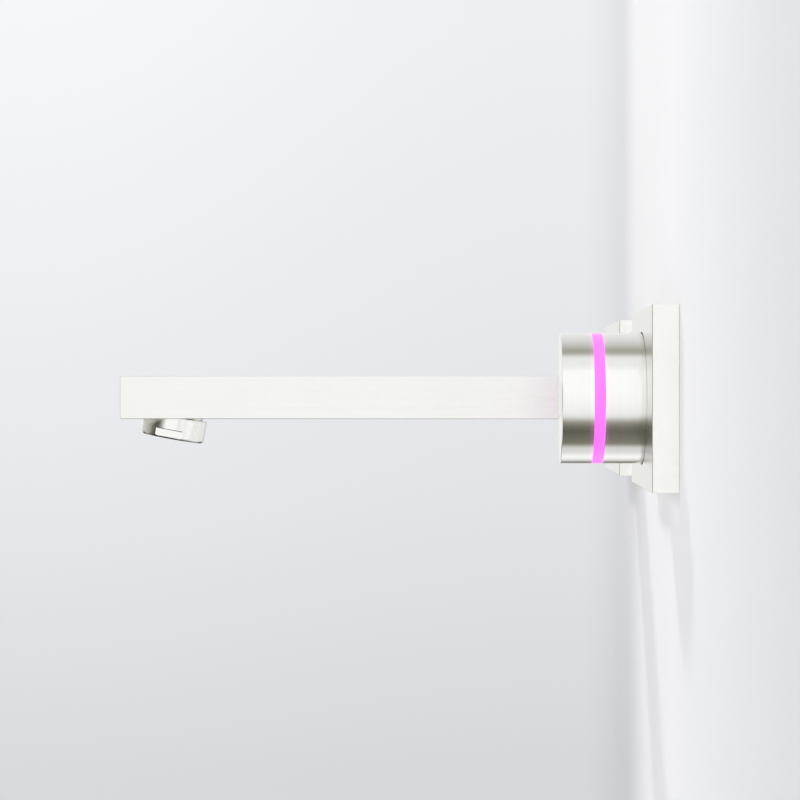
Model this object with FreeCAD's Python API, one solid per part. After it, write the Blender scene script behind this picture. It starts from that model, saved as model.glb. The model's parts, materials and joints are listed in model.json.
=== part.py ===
"""Electronic wall basin tap: a square spout and a round knob on two plates, with the works in the wall.

Millimetres. +Z is up and the wall's face is the plane Y = 0, with the origin in the middle of the spout's plate.
The spout reaches out along -Y, the knob stands at +X of it, and everything at Y > 0 is inside the wall.
"""

import FreeCAD, Part
import math
import os

V = FreeCAD.Vector
X_AXIS, Y_AXIS, Z_AXIS = V(1, 0, 0), V(0, 1, 0), V(0, 0, 1)

# Fits
SLIP = 0.15  # gap round a fixed piece that is pushed into place
RUN = 0.05  # gap on each side of a turning or sliding shaft
SEAL_GAP = 0.05  # gap left between a seal and the wall that it rubs on

# Wall plates
PLATE_W = 88.0
PLATE_H = 65.0
PLATE_T = 9.25
PLATE_FACE = 3.0
PLATE_RIM = 3.0
PLATE_EDGE = 0.35
PLATE_PITCH = 152.0
GASKET_T = 1.5
GASKET_W = 4.0
CARRIER_POST_X = 30.0
CARRIER_POST_R = 4.0
CARRIER_WEB = 2.5
CARRIER_RIM = 3.0

# Spout
SPOUT_W = 36.0
SPOUT_H = 18.5
SPOUT_REACH = 223.0
SPOUT_WALL = 2.0
SPOUT_TIP = 2.5
SPOUT_EDGE = 0.3
SPOUT_TAIL = 2.0  # how far the spout's root stays in front of the wall's face
ROOT_BLOCK_L = 38.0
WATERWAY_R = 5.0
WATERWAY_WALL = 1.0
WATERWAY_SEAT = 5.0
GRUB_R = 2.5
GRUB_Y = -16.0
GRUB_SOCKET = 2.5  # across the flats of the key's hexagon

# Aerator, whose axis leans out from the wall
OUTLET_SETBACK = 20.2  # from the spout's tip to the middle of the outlet
OUTLET_Z = -17.4
OUTLET_TILT = 10.5
HOUSING_R = 13.75
HOUSING_L = 9.2
HOUSING_CHAMFER = 0.9
HOUSING_BORE_R = 10.6
THREAD_R = 12.0
THREAD_L = 6.5
RECESS_GAP = 0.9
FLAT_DEPTH = 1.13  # wrench flats on both sides, from the outlet face up
FLAT_H = 3.6
SOCKET_L = 40.0
INSERT_L = 8.5
INSERT_RIM = 1.6
INSERT_DROP = 2.0  # from the rim's lower edge to the spokes
INSERT_DEEP = 3.0
INSERT_HUB_R = 3.2
INSERT_BAND_R = 6.1
INSERT_RIB = 1.0
INSERT_SPOKES = 12
MESH_T = 0.8
WASHER_T = 1.6

# Knob, with its axis along Y
KNOB_R = 23.7
KNOB_FRONT = 39.1  # from the wall's face to the knob's front
KNOB_CHAMFER = 0.4
KNOB_WALL = 2.2
CAP_T = 2.5
RING_FRONT = 27.45
RING_BACK = 23.8
RING_LIP = 1.75
RING_SPIGOT = 6.0
KNOB_GAP = 0.5
SLEEVE_BACK = 4.0
PRESS_TRAVEL = 1.0
HUB_T = 2.6
HUB_R = 18.0
HUB_BOSS_R = 4.4
HUB_SPOKES = 3
HUB_RIM = 2.5
HUB_ARM = 7.0
HUB_SCREW_R = 11.9
HUB_SCREW_IN = 1.5  # how far the screws go into the cap
SHAFT_R = 3.0
SHAFT_FLAT = 2.2
SHAFT_FRONT = 35.6
SHAFT_BACK = 17.4

# Fixed stem inside the knob
STEM_R = 17.5
STEM_BORE_R = 15.2
NOSE_R = 11.9
NOSE_BORE_R = 9.6
NOSE_FRONT = 26.5
NOSE_WALL = 2.5
STEM_SHOULDER = 23.4
STEM_SHOULDER_T = 2.0
STEM_FLANGE_R = 25.8
STEM_FLANGE_T = 4.0
LED_BOARD_R = 18.9
LED_BOARD_T = 1.2
LED_COUNT = 12
LED_RADIAL, LED_ALONG, LED_HIGH = 2.4, 3.2, 1.7
ENCODER_SIDE = 13.0
ENCODER_L = 7.0
FOOT_OFF = 4.7  # from the axis to the board's feet, both ways
FOOT_R = 0.8
BUSHING_R = 4.5
BUSHING_L = 5.4
ROTOR_R = 5.2
ROTOR_T = 2.0
NUT_FLATS = 12.0
NUT_T = 2.2
SWITCH_SIDE = 6.2
SWITCH_H = 3.4
SWITCH_BUTTON_R, SWITCH_BUTTON = 1.7, 0.8
SWITCH_GAP = 0.15
SEAL_W = 2.4
SEAL_DEPTH = 1.2
SEAL_HEEL = 0.8
SEAL_LEAN = 1.3
SEAL_LIP = 0.6
BOARD_R = 14.6
BOARD_T = 1.6

# Rail and the housing behind it
WALL_GAP = 6.0  # from the wall's face to the rail
RAIL_T = 3.0
RAIL_H = 62.0
RAIL_END = 50.0
RAIL_HOLE_R = 11.0
RAIL_FLANGE = 7.0
FIX_X = 116.0  # half the distance between the fixing slots
FIX_Z = 20.0
FIX_R = 2.75
FIX_SLOT = 13.0
HOUSING_CAN_R = 27.0
HOUSING_CAN_D = 36.0
HOUSING_CAN_WALL = 2.5
STEM_SCREW_PCD = 43.0
STEM_SCREWS = 3
STEM_SCREW_BITE = 4.0
GLAND_R = 6.0
GLAND_BORE_R = 3.0
GLAND_L = 14.0
GLAND_IN = 5.0
GLAND_CAP = 5.0
GLAND_CAP_OUT = 0.8
GLAND_TAPER = 1.5
MAIN_BOARD_W, MAIN_BOARD_H, MAIN_BOARD_DEPTH = 36.0, 30.0, 14.0
CHIP_SIDE, CHIP_T = 10.0, 1.4
RELAY_W, RELAY_H, RELAY_T = 15.0, 12.0, 9.0
POST_R = 2.0
SCREW_BOSS_WALL = 2.2

# Screws
M3_R, M3_HEAD_R, M3_HEAD, M3_KEY = 1.5, 2.8, 1.8, 2.0
M4_R, M4_HEAD_R, M4_HEAD, M4_KEY = 2.0, 3.8, 2.2, 3.0
M5_R, M5_HEAD_R, M5_HEAD, M5_KEY = 2.5, 4.7, 2.8, 4.0
SCREW_GAP = 0.2

# Valve body
BODY_LEFT = 18.0
BODY_RIGHT = 96.0
BODY_FRONT = 20.0
BODY_BACK = 48.0
BODY_BOTTOM = -14.0
BODY_TOP = 14.0
BODY_EDGE = 2.0
AXIS_Y = 34.0  # depth of the upright bores
OUTLET_BOSS_R = 14.0
PORT_R = 9.3  # minor radius of the G1/2 thread
PORT_L = 15.0
PORT_BOSS_R = 13.5
PORT_DROP = 20.0
HOT_X, COLD_X = 22.0, 68.0
CHECK_R = 7.5
CHECK_L = 12.0
CHECK_TAIL = 5.0
CHECK_WALL = 1.5
CHECK_POPPET_R = 3.5
MIX_X = 45.0
MIX_BORE_R = 11.0
MIX_BOSS_R = 14.5
MIX_BOSS_TOP = 22.0
MIX_FLOOR = -8.0
CHANNEL_R = 4.0
FEED_R = 3.0
CHANNEL_Z = 5.0
STANDOFF_FLATS = 10.0
STANDOFF_X = (57.0, 90.0)
STANDOFF_BITE = 7.0  # how far their screws go into the body

# Nipple between the body and the spout
NIPPLE_THREAD_R = PORT_R - RUN
NIPPLE_THREAD_L = 12.0
NIPPLE_HEX = 19.0
NIPPLE_HEX_T = 6.0
NIPPLE_R = 6.0
NIPPLE_BORE_R = 3.4
NIPPLE_FRONT = 34.0
O_RING_SECTION = 1.6
O_RING_YS = (-21.0, -27.0)
O_RING_SIDES = 10

# Mixing cartridge
DISC_R = 8.6
DISC_T = 2.5
DISC_PORT_R = 1.9
SPINDLE_R = 4.0
SPINDLE_TOP = 44.5
SPINDLE_FLATS = 6.0
SPINDLE_TAP = 8.0
TONGUE_W, TONGUE_T, TONGUE_H = 5.0, 3.0, 1.2
CARTRIDGE_TOP = 19.0
CARTRIDGE_SEAT = 12.0  # from the cartridge's top down to the fixed disc's underside
CARTRIDGE_STEP = 1.5
CARTRIDGE_STEP_H = 3.0
CARTRIDGE_FOOT = 3.0
CARTRIDGE_NUT_TOP = 27.5
CARTRIDGE_NUT_FLATS = 24.0
CARTRIDGE_NUT_GAP = 2.2

# Gears
MODULE = 1.0
GEAR_TEETH = 40
PINION_TEETH = 16
GEAR_T = 5.0
GEAR_Z = 37.0
PINION_T = 6.0
PRESSURE_ANGLE = 20.0
GEAR_DISH_R, GEAR_HUB_R = 15.0, 8.0
GEAR_HOLES, GEAR_HOLE_R = 6, 2.6
BACKLASH = 0.12

# Motor
MOTOR_R = 12.0
MOTOR_H = 19.0
MOTOR_SHAFT_R = 1.5
MOTOR_SHAFT_IN = 4.0
MOTOR_EDGE = 0.8
BRACKET_T = 2.0
BRACKET_W = 20.0
BRACKET_LEG = 14.0
BRACKET_SCREW_UP = 4.0
BRACKET_SCREW_BITE = 5.0

# Solenoid
SOLENOID_BORE_R = 11.0
DIAPHRAGM_T = 1.6
DIAPHRAGM_DEPTH = 2.0
PILOT_R = 1.0
BONNET_R = 12.5
BONNET_T = 6.0
BONNET_FLOOR = 1.4
TUBE_R = 5.2
TUBE_WALL = 1.1
TUBE_TOP = 48.0
TUBE_CAP = 3.0
COIL_R = 13.0
COIL_H = 20.0
COIL_Z = 24.0
TERMINAL_W, TERMINAL_H, TERMINAL_OUT = 8.0, 8.0, 5.0
YOKE_T = 2.0
YOKE_W = 18.0
PLUNGER_L = 19.0

# Springs
SPRING_STEPS = 14  # stations to a turn
RETURN_SPRING_R = 5.6
RETURN_WIRE_R = 0.35
RETURN_TURNS = 3
PLUNGER_SPRING_R = 3.0
PLUNGER_WIRE_R = 0.3
PLUNGER_TURNS = 5

# Small fittings on the body
SENSOR_R = 4.0
SENSOR_HEX, SENSOR_HEX_T = 11.0, 5.0
SENSOR_IN = 10.0
SENSOR_TIP_R, SENSOR_TIP = 1.6, 4.0
SENSOR_NECK_R, SENSOR_NECK = 2.6, 4.0
PLUG_HEX, PLUG_HEX_T, PLUG_IN = 10.0, 4.0, 8.0


def cylinder(radius, length, base, axis=Y_AXIS):
    return Part.makeCylinder(radius, length, base, axis)


def tube(outer, inner, length, base, axis=Y_AXIS):
    return cylinder(outer, length, base, axis).cut(cylinder(inner, length, base, axis))


def box(x0, x1, y0, y1, z0, z1):
    return Part.makeBox(x1 - x0, y1 - y0, z1 - z0, V(x0, y0, z0))


def slab(width, height, y0, y1, cx=0.0):
    """A block centred on the spout's or the knob's axis."""
    return box(cx - width / 2, cx + width / 2, y0, y1, -height / 2, height / 2)


def revolve(points, centre, axis, radial):
    """Turns an outline of (radius, distance along the axis) pairs about the axis."""
    outline = [centre + radial * r + axis * a for r, a in points]
    face = Part.Face(Part.makePolygon(outline + [outline[0]]))
    return face.revolve(centre, axis, 360)


def revolve_y(points, x=0.0):
    """Outline pairs are (radius, Y)."""
    return revolve(points, V(x, 0, 0), Y_AXIS, X_AXIS)


def revolve_z(points, x, y):
    """Outline pairs are (radius, Z)."""
    return revolve(points, V(x, y, 0), Z_AXIS, X_AXIS)


def hexagon(flats, length, base, axis=Y_AXIS):
    """A hexagonal prism, measured across its flats."""
    side = X_AXIS if abs(axis.x) < 0.5 else Y_AXIS
    up = axis.cross(side)
    reach = flats / 2 / math.cos(math.pi / 6)
    turns = [k * math.pi / 3 for k in range(6)]
    corners = [base + side * (reach * math.cos(t)) + up * (reach * math.sin(t)) for t in turns]
    return Part.Face(Part.makePolygon(corners + [corners[0]])).extrude(axis * length)


def turned(shape, centre, axis, degrees):
    copy = shape.copy()
    copy.rotate(centre, axis, degrees)
    return copy


def ring_of(make, count, centre, axis, start=0.0):
    """The same shape turned to evenly spaced places round an axis."""
    return [turned(make, centre, axis, start + 360.0 * k / count) for k in range(count)]


def screw(radius, head_radius, head, length, tip, axis, socket):
    """A cap screw whose shank starts at the tip and ends at the head's underside."""
    top = tip + axis * length
    body = cylinder(radius, length, tip, axis).fuse(cylinder(head_radius, head, top, axis))
    key = hexagon(socket, head * 0.55, top + axis * (head * 0.45), axis)
    return body.cut(key).removeSplitter()


def spring(radius, wire, turns, height, base, axis):
    """A coil spring: a six-sided wire wound from station to station, with flat faces and closed ends."""
    steps = turns * SPRING_STEPS
    stations = []
    for k in range(steps + 1):
        out = FreeCAD.Rotation(Z_AXIS, 360.0 * k / SPRING_STEPS).multVec(X_AXIS)
        centre = out * radius + Z_AXIS * (height * k / steps)
        sides = [k_side * math.pi / 3 for k_side in range(6)]
        stations.append([centre + out * (wire * math.cos(a)) + Z_AXIS * (wire * math.sin(a)) for a in sides])
    faces = [flat_face(stations[0]), flat_face(stations[-1])]
    for here, there in zip(stations, stations[1:]):
        for side in range(6):
            a, b = here[side], here[(side + 1) % 6]
            c, d = there[(side + 1) % 6], there[side]
            faces += [flat_face([a, b, c]), flat_face([a, c, d])]
    coil = Part.Solid(Part.Shell(faces))
    if coil.Volume < 0:
        coil.reverse()
    coil.Placement = FreeCAD.Placement(base, FreeCAD.Rotation(Z_AXIS, axis))
    return coil


def flat_face(corners):
    return Part.Face(Part.makePolygon(corners + [corners[0]]))


# Spout


def spout_inner_height():
    return SPOUT_H - 2 * SPOUT_WALL


def outlet_axis():
    """Unit vector up the aerator's axis, from the outlet face into the spout."""
    lean = math.radians(OUTLET_TILT)
    return V(0, math.sin(lean), math.cos(lean))


def outlet_point(along):
    return V(0, OUTLET_SETBACK - SPOUT_REACH, OUTLET_Z) + outlet_axis() * along


def aerator_revolve(points):
    return revolve(points, outlet_point(0), outlet_axis(), X_AXIS)


def recess_top():
    return HOUSING_L + SLIP


def thread_top():
    return HOUSING_L + THREAD_L


def washer_seat():
    return thread_top() + SLIP


def recess_and_bore():
    """The round recess in the underside and the threaded bore above it, as one cutter."""
    recess = cylinder(HOUSING_R + RECESS_GAP, recess_top(), outlet_point(0), outlet_axis())
    bore = cylinder(THREAD_R + SLIP, washer_seat() + WASHER_T, outlet_point(0), outlet_axis())
    return recess.fuse(bore)


def spout_shell():
    bar = slab(SPOUT_W, SPOUT_H, -SPOUT_REACH, -SPOUT_TAIL)
    front = [e for e in bar.Edges if e.BoundBox.YMin < -SPOUT_REACH + SPOUT_WALL or e.Length > SPOUT_W]
    bar = bar.makeChamfer(SPOUT_EDGE, front)
    inside = slab(
        SPOUT_W - 2 * SPOUT_WALL, spout_inner_height(), -SPOUT_REACH + SPOUT_TIP, -SPOUT_TAIL
    )
    grub = cylinder(GRUB_R + SLIP, SPOUT_H / 2, V(0, GRUB_Y, -SPOUT_H / 2), Z_AXIS)
    return bar.cut(inside).cut(recess_and_bore()).cut(grub)


def aerator_socket():
    front = -SPOUT_REACH + SPOUT_TIP
    block = slab(SPOUT_W - 2 * SPOUT_WALL, spout_inner_height(), front, front + SOCKET_L)
    feed = cylinder(WATERWAY_R - WATERWAY_WALL, SOCKET_L, V(0, OUTLET_SETBACK - SPOUT_REACH, waterway_z()))
    seat = cylinder(WATERWAY_R, WATERWAY_SEAT, V(0, front + SOCKET_L - WATERWAY_SEAT, waterway_z()))
    return block.cut(recess_and_bore()).cut(feed).cut(seat)


def waterway_z():
    return spout_inner_height() / 2 - WATERWAY_R - SPOUT_WALL / 4


def waterway_tube():
    start = -SPOUT_REACH + SPOUT_TIP + SOCKET_L - WATERWAY_SEAT
    end = -SPOUT_TAIL - ROOT_BLOCK_L + WATERWAY_SEAT
    return tube(WATERWAY_R, WATERWAY_R - WATERWAY_WALL, end - start, V(0, start, waterway_z()))


def spout_root_block():
    front = -SPOUT_TAIL - ROOT_BLOCK_L
    block = slab(SPOUT_W - 2 * SPOUT_WALL, spout_inner_height(), front, -SPOUT_TAIL)
    seat = cylinder(WATERWAY_R, WATERWAY_SEAT, V(0, front, waterway_z()))
    way = cylinder(WATERWAY_R - WATERWAY_WALL, ROOT_BLOCK_L / 4, V(0, front, waterway_z()))
    bore = cylinder(NIPPLE_R + RUN, NIPPLE_FRONT + SLIP - SPOUT_TAIL, V(0, -NIPPLE_FRONT - SLIP, 0))
    grub = cylinder(GRUB_R, SPOUT_H / 2, V(0, GRUB_Y, -SPOUT_H / 2), Z_AXIS)
    return block.cut(seat).cut(way).cut(bore).cut(grub)


def grub_groove_r():
    return NIPPLE_R - 0.9


def spout_grub_screw():
    low = -SPOUT_H / 2 + SPOUT_EDGE
    high = -grub_groove_r() - SLIP
    body = cylinder(GRUB_R, high - low, V(0, GRUB_Y, low), Z_AXIS)
    return body.cut(hexagon(GRUB_SOCKET, (high - low) / 2, V(0, GRUB_Y, low), Z_AXIS))


def spout_nipple():
    back = rail_back() + NIPPLE_THREAD_L
    hex_front = -NIPPLE_HEX_T + WALL_GAP - SLIP
    groove = o_ring_groove_r()
    outline = [(NIPPLE_BORE_R, back), (NIPPLE_THREAD_R, back)]
    outline += [(NIPPLE_THREAD_R, WALL_GAP), (NIPPLE_R, WALL_GAP)]
    width = O_RING_SECTION / 2 + SLIP
    cuts = [(GRUB_Y, GRUB_R + SLIP, grub_groove_r())] + [(y, width, groove) for y in O_RING_YS]
    for y, half, depth in cuts:
        outline += [(NIPPLE_R, y + half), (depth, y + half), (depth, y - half), (NIPPLE_R, y - half)]
    outline += [(NIPPLE_R, -NIPPLE_FRONT + RUN), (NIPPLE_BORE_R, -NIPPLE_FRONT + RUN)]
    wrench = hexagon(NIPPLE_HEX, WALL_GAP - hex_front, V(0, hex_front, 0))
    wrench = wrench.cut(cylinder(NIPPLE_BORE_R, WALL_GAP - hex_front, V(0, hex_front, 0)))
    return revolve_y(outline).fuse(wrench).removeSplitter()


def o_ring_groove_r():
    return NIPPLE_R + RUN - O_RING_SECTION


def nipple_o_rings():
    middle = o_ring_groove_r() + O_RING_SECTION / 2
    section = O_RING_SECTION / 2 - SEAL_GAP / 2
    turns = [k * 2 * math.pi / O_RING_SIDES for k in range(O_RING_SIDES)]
    outline = [(middle + section * math.cos(a), section * math.sin(a)) for a in turns]
    return Part.makeCompound([revolve_y([(r, y + a) for r, a in outline]) for y in O_RING_YS])


def aerator_housing():
    half = HOUSING_CHAMFER
    outline = [
        (HOUSING_BORE_R, 0),
        (HOUSING_R - half, 0),
        (HOUSING_R, half),
        (HOUSING_R, HOUSING_L),
        (THREAD_R, HOUSING_L),
        (THREAD_R, thread_top()),
        (HOUSING_BORE_R, thread_top()),
    ]
    body = aerator_revolve(outline)
    low = outlet_point(0)
    flat = box(HOUSING_R - FLAT_DEPTH, HOUSING_R + FLAT_DEPTH, -HOUSING_R, HOUSING_R, 0, FLAT_H)
    flat.Placement = FreeCAD.Placement(low, FreeCAD.Rotation(Z_AXIS, outlet_axis()))
    other = turned(flat, low, outlet_axis(), 180)
    return body.cut(flat).cut(other)


def insert_top():
    return thread_top() - MESH_T


def aerator_insert():
    """A jet former: a rim, a band and a hub joined by spokes."""
    low = insert_top() - INSERT_L
    inside = HOUSING_BORE_R - INSERT_RIM
    top, web = insert_top(), low + INSERT_DROP
    rim = aerator_revolve([(inside, low), (HOUSING_BORE_R, low), (HOUSING_BORE_R, top), (inside, top)])
    nose = [(0, web - INSERT_RIB), (INSERT_HUB_R, web)]
    hub = aerator_revolve(nose + [(INSERT_HUB_R, web + INSERT_DEEP), (0, web + INSERT_DEEP)])
    band = tube(
        INSERT_BAND_R + INSERT_RIB / 2,
        INSERT_BAND_R - INSERT_RIB / 2,
        INSERT_DEEP,
        outlet_point(web),
        outlet_axis(),
    )
    start = INSERT_HUB_R - INSERT_RIB / 2
    length = inside + INSERT_RIB / 2 - start
    spoke = Part.makeBox(length, INSERT_RIB, INSERT_DEEP - 0.4, V(start, -INSERT_RIB / 2, 0))
    spoke.Placement = FreeCAD.Placement(outlet_point(web + 0.2), FreeCAD.Rotation(Z_AXIS, outlet_axis()))
    spokes = ring_of(spoke, INSERT_SPOKES, outlet_point(0), outlet_axis())
    return rim.multiFuse([hub, band] + spokes).removeSplitter()


def aerator_mesh():
    return cylinder(HOUSING_BORE_R, MESH_T, outlet_point(insert_top()), outlet_axis())


def aerator_washer():
    outer = THREAD_R
    inner = HOUSING_BORE_R - 2.5
    return tube(outer, inner, WASHER_T, outlet_point(washer_seat()), outlet_axis())


# Plates


def plate(hole, cx):
    """A wall plate: a face and a rim, open at the back, with a hole for what passes through."""
    body = slab(PLATE_W, PLATE_H, -PLATE_T, 0, cx)
    front = [e for e in body.Edges if e.BoundBox.YMin < -PLATE_T / 2]
    body = body.makeChamfer(PLATE_EDGE, front)
    pocket = slab(PLATE_W - 2 * PLATE_RIM, PLATE_H - 2 * PLATE_RIM, -PLATE_T + PLATE_FACE, 0, cx)
    return body.cut(pocket).cut(hole)


def spout_passage(gap):
    return slab(SPOUT_W + 2 * gap, SPOUT_H + 2 * gap, -2 * PLATE_T, WALL_GAP)


def knob_passage(gap):
    return cylinder(KNOB_R + gap, 2 * PLATE_T + WALL_GAP, V(PLATE_PITCH, -2 * PLATE_T, 0))


def gasket(cx):
    width, height = PLATE_W - 2 * PLATE_RIM, PLATE_H - 2 * PLATE_RIM
    ring = slab(width, height, -GASKET_T, 0, cx)
    return ring.cut(slab(width - 2 * GASKET_W, height - 2 * GASKET_W, -GASKET_T, 0, cx))


def post_places(cx):
    return [cx - CARRIER_POST_X, cx + CARRIER_POST_X]


def carrier(passage, cx):
    """The plastic frame in the plate's pocket: a web with a rim, on two posts that stand on the rail."""
    width, height = PLATE_W - 2 * PLATE_RIM, PLATE_H - 2 * PLATE_RIM
    front = -PLATE_T + PLATE_FACE
    web = slab(width, height, front, front + CARRIER_WEB, cx)
    rim = slab(width, height, front, -GASKET_T, cx)
    rim = rim.cut(slab(width - 2 * CARRIER_RIM, height - 2 * CARRIER_RIM, front, -GASKET_T, cx))
    posts = [cylinder(CARRIER_POST_R, WALL_GAP - front, V(x, front, 0)) for x in post_places(cx)]
    holes = [cylinder(M4_R + SCREW_GAP, WALL_GAP - front, V(x, front, 0)) for x in post_places(cx)]
    sinks = [cylinder(M4_HEAD_R + SCREW_GAP, M4_HEAD + SCREW_GAP, V(x, front, 0)) for x in post_places(cx)]
    body = web.cut(passage).fuse(rim.cut(passage)).multiFuse(posts)
    for cutter in holes + sinks:
        body = body.cut(cutter)
    return body.removeSplitter()


def carrier_screws():
    front = -PLATE_T + PLATE_FACE
    head_under = front + SCREW_GAP + M4_HEAD
    screws = []
    for x in post_places(0) + post_places(PLATE_PITCH):
        tip = V(x, rail_back(), 0)
        screws.append(screw(M4_R, M4_HEAD_R, M4_HEAD, rail_back() - head_under, tip, V(0, -1, 0), M4_KEY))
    return Part.makeCompound(screws)


# Knob


def knob_cap():
    skirt = KNOB_R - KNOB_WALL
    return revolve_y(
        [
            (0, -KNOB_FRONT),
            (KNOB_R - KNOB_CHAMFER, -KNOB_FRONT),
            (KNOB_R, -KNOB_FRONT + KNOB_CHAMFER),
            (KNOB_R, -RING_FRONT),
            (skirt, -RING_FRONT),
            (skirt, -KNOB_FRONT + CAP_T),
            (0, -KNOB_FRONT + CAP_T),
        ],
        PLATE_PITCH,
    ).cut(hub_screw_holes())


def hub_screw_places():
    return [(HUB_SCREW_R, 360.0 * k / HUB_SPOKES + 30) for k in range(HUB_SPOKES)]


def hub_screw_at(radius, reach, y0):
    """One upright rod per hub screw, as a cutter."""
    rods = []
    for r, angle in hub_screw_places():
        a = math.radians(angle)
        rods.append(cylinder(radius, reach, V(PLATE_PITCH + r * math.cos(a), y0, r * math.sin(a))))
    return rods[0].multiFuse(rods[1:])


def hub_screw_holes():
    return hub_screw_at(M3_R, HUB_SCREW_IN, -KNOB_FRONT + CAP_T - HUB_SCREW_IN)


def light_ring():
    skirt = KNOB_R - KNOB_WALL
    inner = skirt - RING_LIP
    return revolve_y(
        [
            (KNOB_R, -RING_FRONT),
            (KNOB_R, -RING_BACK),
            (skirt, -RING_BACK),
            (skirt, -RING_BACK + RING_SPIGOT),
            (inner, -RING_BACK + RING_SPIGOT),
            (inner, -RING_FRONT - RING_SPIGOT),
            (skirt, -RING_FRONT - RING_SPIGOT),
            (skirt, -RING_FRONT),
        ],
        PLATE_PITCH,
    )


def knob_sleeve():
    skirt = KNOB_R - KNOB_WALL
    return tube(KNOB_R, skirt, RING_BACK - SLEEVE_BACK, V(PLATE_PITCH, -RING_BACK, 0))


def shaft_section(radius, flat, y0, y1):
    """A round bar with one flat, as a D."""
    bar = cylinder(radius, y1 - y0, V(PLATE_PITCH, y0, 0))
    off = box(
        PLATE_PITCH - radius - 1, PLATE_PITCH + radius + 1, y0 - 1, y1 + 1, flat, radius + 1
    )
    return bar.cut(off)


def hub_back():
    return -KNOB_FRONT + CAP_T + HUB_T


def hub_boss_back():
    return bushing_front() - PRESS_TRAVEL - SLIP * 3


def knob_hub():
    """The plastic spider that carries the cap on the shaft."""
    front = -KNOB_FRONT + CAP_T
    disc = cylinder(HUB_R, HUB_T, V(PLATE_PITCH, front, 0))
    window = tube(HUB_R - HUB_RIM, HUB_BOSS_R + HUB_RIM, HUB_T, V(PLATE_PITCH, front, 0))
    arm = Part.makeBox(HUB_R, HUB_ARM, 2 * HUB_R, V(0, -HUB_ARM / 2, -HUB_R))
    arm.Placement = FreeCAD.Placement(V(PLATE_PITCH, front, 0), FreeCAD.Rotation(Z_AXIS, Y_AXIS))
    arms = [turned(arm, V(PLATE_PITCH, 0, 0), Y_AXIS, -angle) for _, angle in hub_screw_places()]
    gaps = window.cut(arms[0].multiFuse(arms[1:]))
    boss = cylinder(HUB_BOSS_R, hub_boss_back() - front, V(PLATE_PITCH, front, 0))
    bore = shaft_section(SHAFT_R, SHAFT_FLAT, -SHAFT_FRONT, hub_boss_back() + 1)
    body = disc.cut(gaps).fuse(boss).cut(bore)
    return body.cut(hub_screw_at(M3_R, HUB_T, front)).removeSplitter()


def hub_screws():
    screws = []
    for r, angle in hub_screw_places():
        a = math.radians(angle)
        tip = V(PLATE_PITCH + r * math.cos(a), -KNOB_FRONT + CAP_T - HUB_SCREW_IN, r * math.sin(a))
        length = hub_back() - tip.y
        screws.append(screw(M3_R, M3_HEAD_R, M3_HEAD, length, tip, Y_AXIS, M3_KEY))
    return Part.makeCompound(screws)


def knob_shaft():
    return shaft_section(SHAFT_R, SHAFT_FLAT, -SHAFT_FRONT, -SHAFT_BACK)


def return_spring():
    """Between the encoder's nut and the knob's hub."""
    room = nut_front() - hub_back()
    length = room - 2 * RETURN_WIRE_R - SLIP
    start = nut_front() - RETURN_WIRE_R - SLIP / 2
    return spring(
        RETURN_SPRING_R, RETURN_WIRE_R, RETURN_TURNS, length, V(PLATE_PITCH, start, 0), V(0, -1, 0)
    )


def encoder_front():
    return -NOSE_FRONT + NOSE_WALL


def bushing_front():
    return encoder_front() - BUSHING_L


def nut_front():
    return -NOSE_FRONT - NUT_T


def rotor_y():
    return encoder_front() + ENCODER_L / 2 - ROTOR_T / 2


def encoder_body():
    body = slab(ENCODER_SIDE, ENCODER_SIDE, encoder_front(), encoder_front() + ENCODER_L, PLATE_PITCH)
    body = body.fuse(cylinder(BUSHING_R, BUSHING_L, V(PLATE_PITCH, bushing_front(), 0)))
    bore = cylinder(SHAFT_R + RUN, ENCODER_L + BUSHING_L, V(PLATE_PITCH, bushing_front(), 0))
    pocket = cylinder(ROTOR_R + RUN, ROTOR_T + 2 * RUN, V(PLATE_PITCH, rotor_y() - RUN, 0))
    return body.cut(bore).cut(pocket)


def encoder_rotor():
    disc = cylinder(ROTOR_R, ROTOR_T, V(PLATE_PITCH, rotor_y(), 0))
    bore = shaft_section(SHAFT_R + RUN, SHAFT_FLAT + RUN, rotor_y() - 1, rotor_y() + ROTOR_T + 1)
    return disc.cut(bore)


def encoder_nut():
    nut = hexagon(NUT_FLATS, NUT_T, V(PLATE_PITCH, nut_front(), 0))
    return nut.cut(cylinder(BUSHING_R, NUT_T, V(PLATE_PITCH, nut_front(), 0)))


def control_stem():
    """The fixed stem in the knob: a flange at the rail, a tube, a shoulder for the lamps and a nose."""
    back = WALL_GAP
    shoulder = -STEM_SHOULDER
    seal = splash_seal_y()
    groove = STEM_R - SEAL_DEPTH
    body = revolve_y(
        [
            (STEM_BORE_R, back),
            (STEM_FLANGE_R, back),
            (STEM_FLANGE_R, back - STEM_FLANGE_T),
            (STEM_R, back - STEM_FLANGE_T),
            (STEM_R, seal + SEAL_W / 2),
            (groove, seal + SEAL_W / 2),
            (groove, seal - SEAL_W / 2),
            (STEM_R, seal - SEAL_W / 2),
            (STEM_R, shoulder),
            (NOSE_R, shoulder),
            (NOSE_R, -NOSE_FRONT),
            (BUSHING_R + RUN, -NOSE_FRONT),
            (BUSHING_R + RUN, encoder_front()),
            (NOSE_BORE_R, encoder_front()),
            (NOSE_BORE_R, shoulder + STEM_SHOULDER_T),
            (STEM_BORE_R, shoulder + STEM_SHOULDER_T),
        ],
        PLATE_PITCH,
    )
    return body.cut(stem_screw_rods(M4_R + SCREW_GAP, back - STEM_FLANGE_T, back))


def splash_seal_y():
    return -PLATE_T - 1.0


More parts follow.
